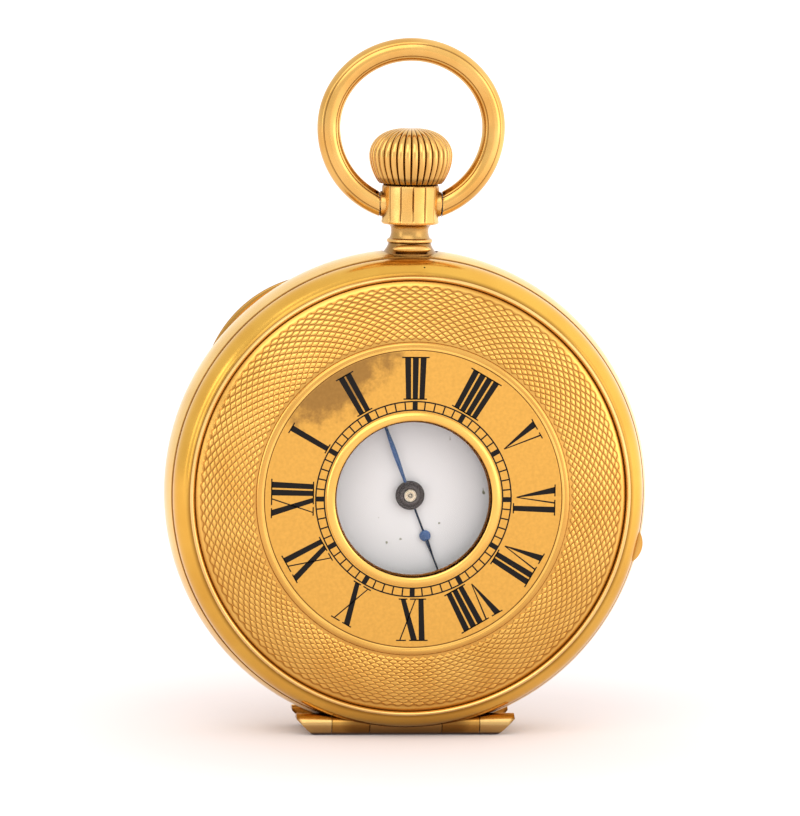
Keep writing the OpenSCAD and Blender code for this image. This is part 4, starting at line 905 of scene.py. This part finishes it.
pendant_outline = [
    (0.95, foot_h + 0.2), (2.88, foot_h + 0.2), (2.9, foot_h + 0.42), (2.62, foot_h + 0.62),
    (2.42, foot_h + 0.9), (2.26, foot_h + 1.2), (2.2, foot_h + 1.42), (2.24, foot_h + 1.48),
    (2.33, foot_h + 1.56), (2.36, foot_h + 1.68), (2.33, foot_h + 1.8), (2.22, foot_h + 1.9),
    (2.1, foot_h + 1.96), (2.0, foot_h + 2.15), (neck_r, foot_h + 2.5), (neck_r, foot_h + 2.85),
    (neck_r + 0.06, foot_h + 3.1), (neck_r + 0.2, foot_h + 3.26), (neck_r + 0.5, foot_h + 3.36),
    (barrel_r - 0.24, foot_h + 3.38), (barrel_r - 0.06, foot_h + 3.46),
    (barrel_r + 0.02, foot_h + 3.62), (barrel_r - 0.03, foot_h + 3.85),
    (barrel_r - 0.03, foot_h + 5.2), (barrel_r, foot_h + 6.6), (barrel_r, foot_h + 7.15),
    (barrel_r - 0.05, foot_h + 7.35), (barrel_r - 0.2, pendant_top), (1.4, pendant_top),
    (1.4, pendant_top - 0.8), (0.95, pendant_top - 0.8)]
bm = bmesh.new()
spin_profile(bm, pendant_outline, facets * 12)
cut = bm.verts.layers.float.new("cut")
for v in bm.verts:
    r = math.hypot(v.co.x, v.co.y)
    # Painted shade, with patina, darkens the neck and the foot, and the rest faintly.
    v[cut] = 0.5 if foot_h + 1.9 < v.co.z < foot_h + 3.37 else 0.7 if v.co.z < foot_h + 1.45 else 0.12
    if r > 2.4 and v.co.z > foot_h + 3.3:
        across = (math.atan2(v.co.y, v.co.x) * facets / (2 * math.pi) + 0.5) % 1
        flat = math.cos(math.pi / facets) / math.cos((across - 0.5) * 2 * math.pi / facets)
        on_face = foot_h + 3.8 < v.co.z < pendant_top - 0.3
        nick = 0.12 if on_face and min(across, 1 - across) < 0.05 else 0
        # The nicks are painted near black: the shade inside them.
        v[cut] = 0.9 if nick else 0
        shrink = ((0.4 * flat + 0.605) * r - nick) / r
        v.co.x *= shrink
        v.co.y *= shrink
for side in (-1, 1):
    for x0, x1, r0, r1 in ((2.3, boss_x - 0.12, 1.3, 1.3), (boss_x - 0.12, boss_x, 1.3, 1.18)):
        middle = Matrix.Translation((side * (x0 + x1) / 2, 0, boss_h))
        bmesh.ops.create_cone(bm, cap_ends=True, segments=48, radius1=r0, radius2=r1, depth=x1 - x0,
                              matrix=middle @ Matrix.Rotation(side * math.pi / 2, 4, "Y"))
for side in (-1, 1):
    made = bmesh.ops.create_uvsphere(bm, u_segments=40, v_segments=20, radius=1)["verts"]
    for v in made:
        # The cushions are painted darker above and below as shade, with a lighter band across their
        # middle.
        v[cut] = 0.1 if abs(v.co.z) < 0.75 else 0.55
    bmesh.ops.scale(bm, vec=(1.95, 0.62, 0.5), verts=made)
    bmesh.ops.translate(bm, vec=(0, side * 2.25, foot_h + 0.92), verts=made)
pendant = add_piece("turned_pendant", bm, TO_UPRIGHT, pendant_gold, "case", 35)
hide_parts("pendant")


# ---- The bow ----
# A forged gold ring, a little wider than it is tall, with two fine worn lines filed along
# each face. Its ends turn on pins in the pendant's bosses.
wire_r = 1.2
bow_half_w = 8.5
bow_up = 7.98
bow_down = 8.5
bow_centre_h = 37.5
bow_end_x = 3.27
bow_lines = (-0.62, 0.55)
bend_r = 10
bend_steps = 160
section_steps = 96
end_below = math.radians(72)

bm = bmesh.new()
bmesh.ops.create_circle(bm, segments=section_steps, radius=wire_r,
                        matrix=Matrix.Translation((bend_r, 0, 0)))
bmesh.ops.rotate(bm, cent=(0, 0, 0), matrix=Matrix.Rotation(end_below, 3, "Y"), verts=bm.verts)
bmesh.ops.spin(bm, geom=bm.verts[:] + bm.edges[:], cent=(0, 0, 0), axis=(0, -1, 0), dvec=(0, 0, 0),
               angle=math.pi + 2 * end_below, steps=bend_steps)
cut = bm.verts.layers.float.new("cut")
for v in bm.verts:
    t = math.atan2(v.co.z, v.co.x)
    out = math.hypot(v.co.x, v.co.z) - bend_r
    face = math.atan2(out, abs(v.co.y))
    groove = max(max(0.0, 1 - abs(face - line) / 0.09) for line in bow_lines)
    # Painted shade, with some dirt, darkens the two filed lines.
    v[cut] = 0.85 * groove
    groove *= 0.06
    out *= 1 - groove
    tall = bow_up if math.sin(t) > 0 else bow_down
    path = Vector((bow_half_w * math.cos(t), 0, tall * math.sin(t)))
    normal = Vector((math.cos(t) / bow_half_w, 0, math.sin(t) / tall)).normalized()
    v.co = path + normal * out + Vector((0, v.co.y * (1 - groove), bow_centre_h))
    if v.co.z < bow_centre_h and abs(v.co.x) < bow_end_x:
        v.co.x = math.copysign(bow_end_x, v.co.x)
bmesh.ops.holes_fill(bm, edges=[e for e in bm.edges if e.is_boundary], sides=0)
bow = add_piece("bow_ring", bm, TO_UPRIGHT, pale_gold, "bow", 35)
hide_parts("bow")


# ---- The hinges ----
# Two knuckle hinges at the foot of the case, filed flush with the band. A steel pin runs
# through each, gilt to match. The gold round the knuckles is painted dark as shade.
dress(polished_gold, "front_hinge_pin", "back_hinge_pin")


# ---- The movement ----
# A gilt brass movement with steel winding wheels, blued screws, brass train wheels, ruby
# bearings and a gold-coloured balance. It shows when the back lid and the dust cover are open.
gilt_plate = gold_material("gilt_plate", "F3D59A", "E9C788", "6A4A22", 0.34, 0.3, 0.3)
train_brass = gold_material("train_brass", "F2CE85", "E6BC6C", "6A4A22", 0.24, 0.25, 0.2)
polished_steel = steel_material("polished_steel", "D6D8DA", "C6C9CC", 0.22)
ruby, tree, output = new_material("ruby")
shader = add_node(tree, "ShaderNodeBsdfPrincipled",
                  {"Base Color": srgb("B3173F"), "Roughness": 0.08})
tree.links.new(shader.outputs[0], output.inputs["Surface"])

dress(gilt_plate, "main_plate", "barrel_bridge", "train_bridge", "balance_cock", "escapement_bridge")
dress(train_brass, "mainspring_barrel", "barrel_lid", "center_wheel", "third_wheel", "fourth_wheel",
      "balance_wheel", "minute_wheel", "hour_wheel", "pendant_sleeve")
dress(polished_steel, "ratchet_wheel", "crown_wheel", "click", "barrel_arbor", "winding_pinion",
      "winding_stem", "escape_wheel", "pallet_fork", "balance_staff", "regulator", "lift_spring",
      "lock_spring", "click_spring")
dress(blued_steel, "bridge_screws", "case_screws", "ratchet_screw", "crown_wheel_screw",
      "click_screw", "hairspring", "mainspring")
dress(ruby, "bearing_jewels")
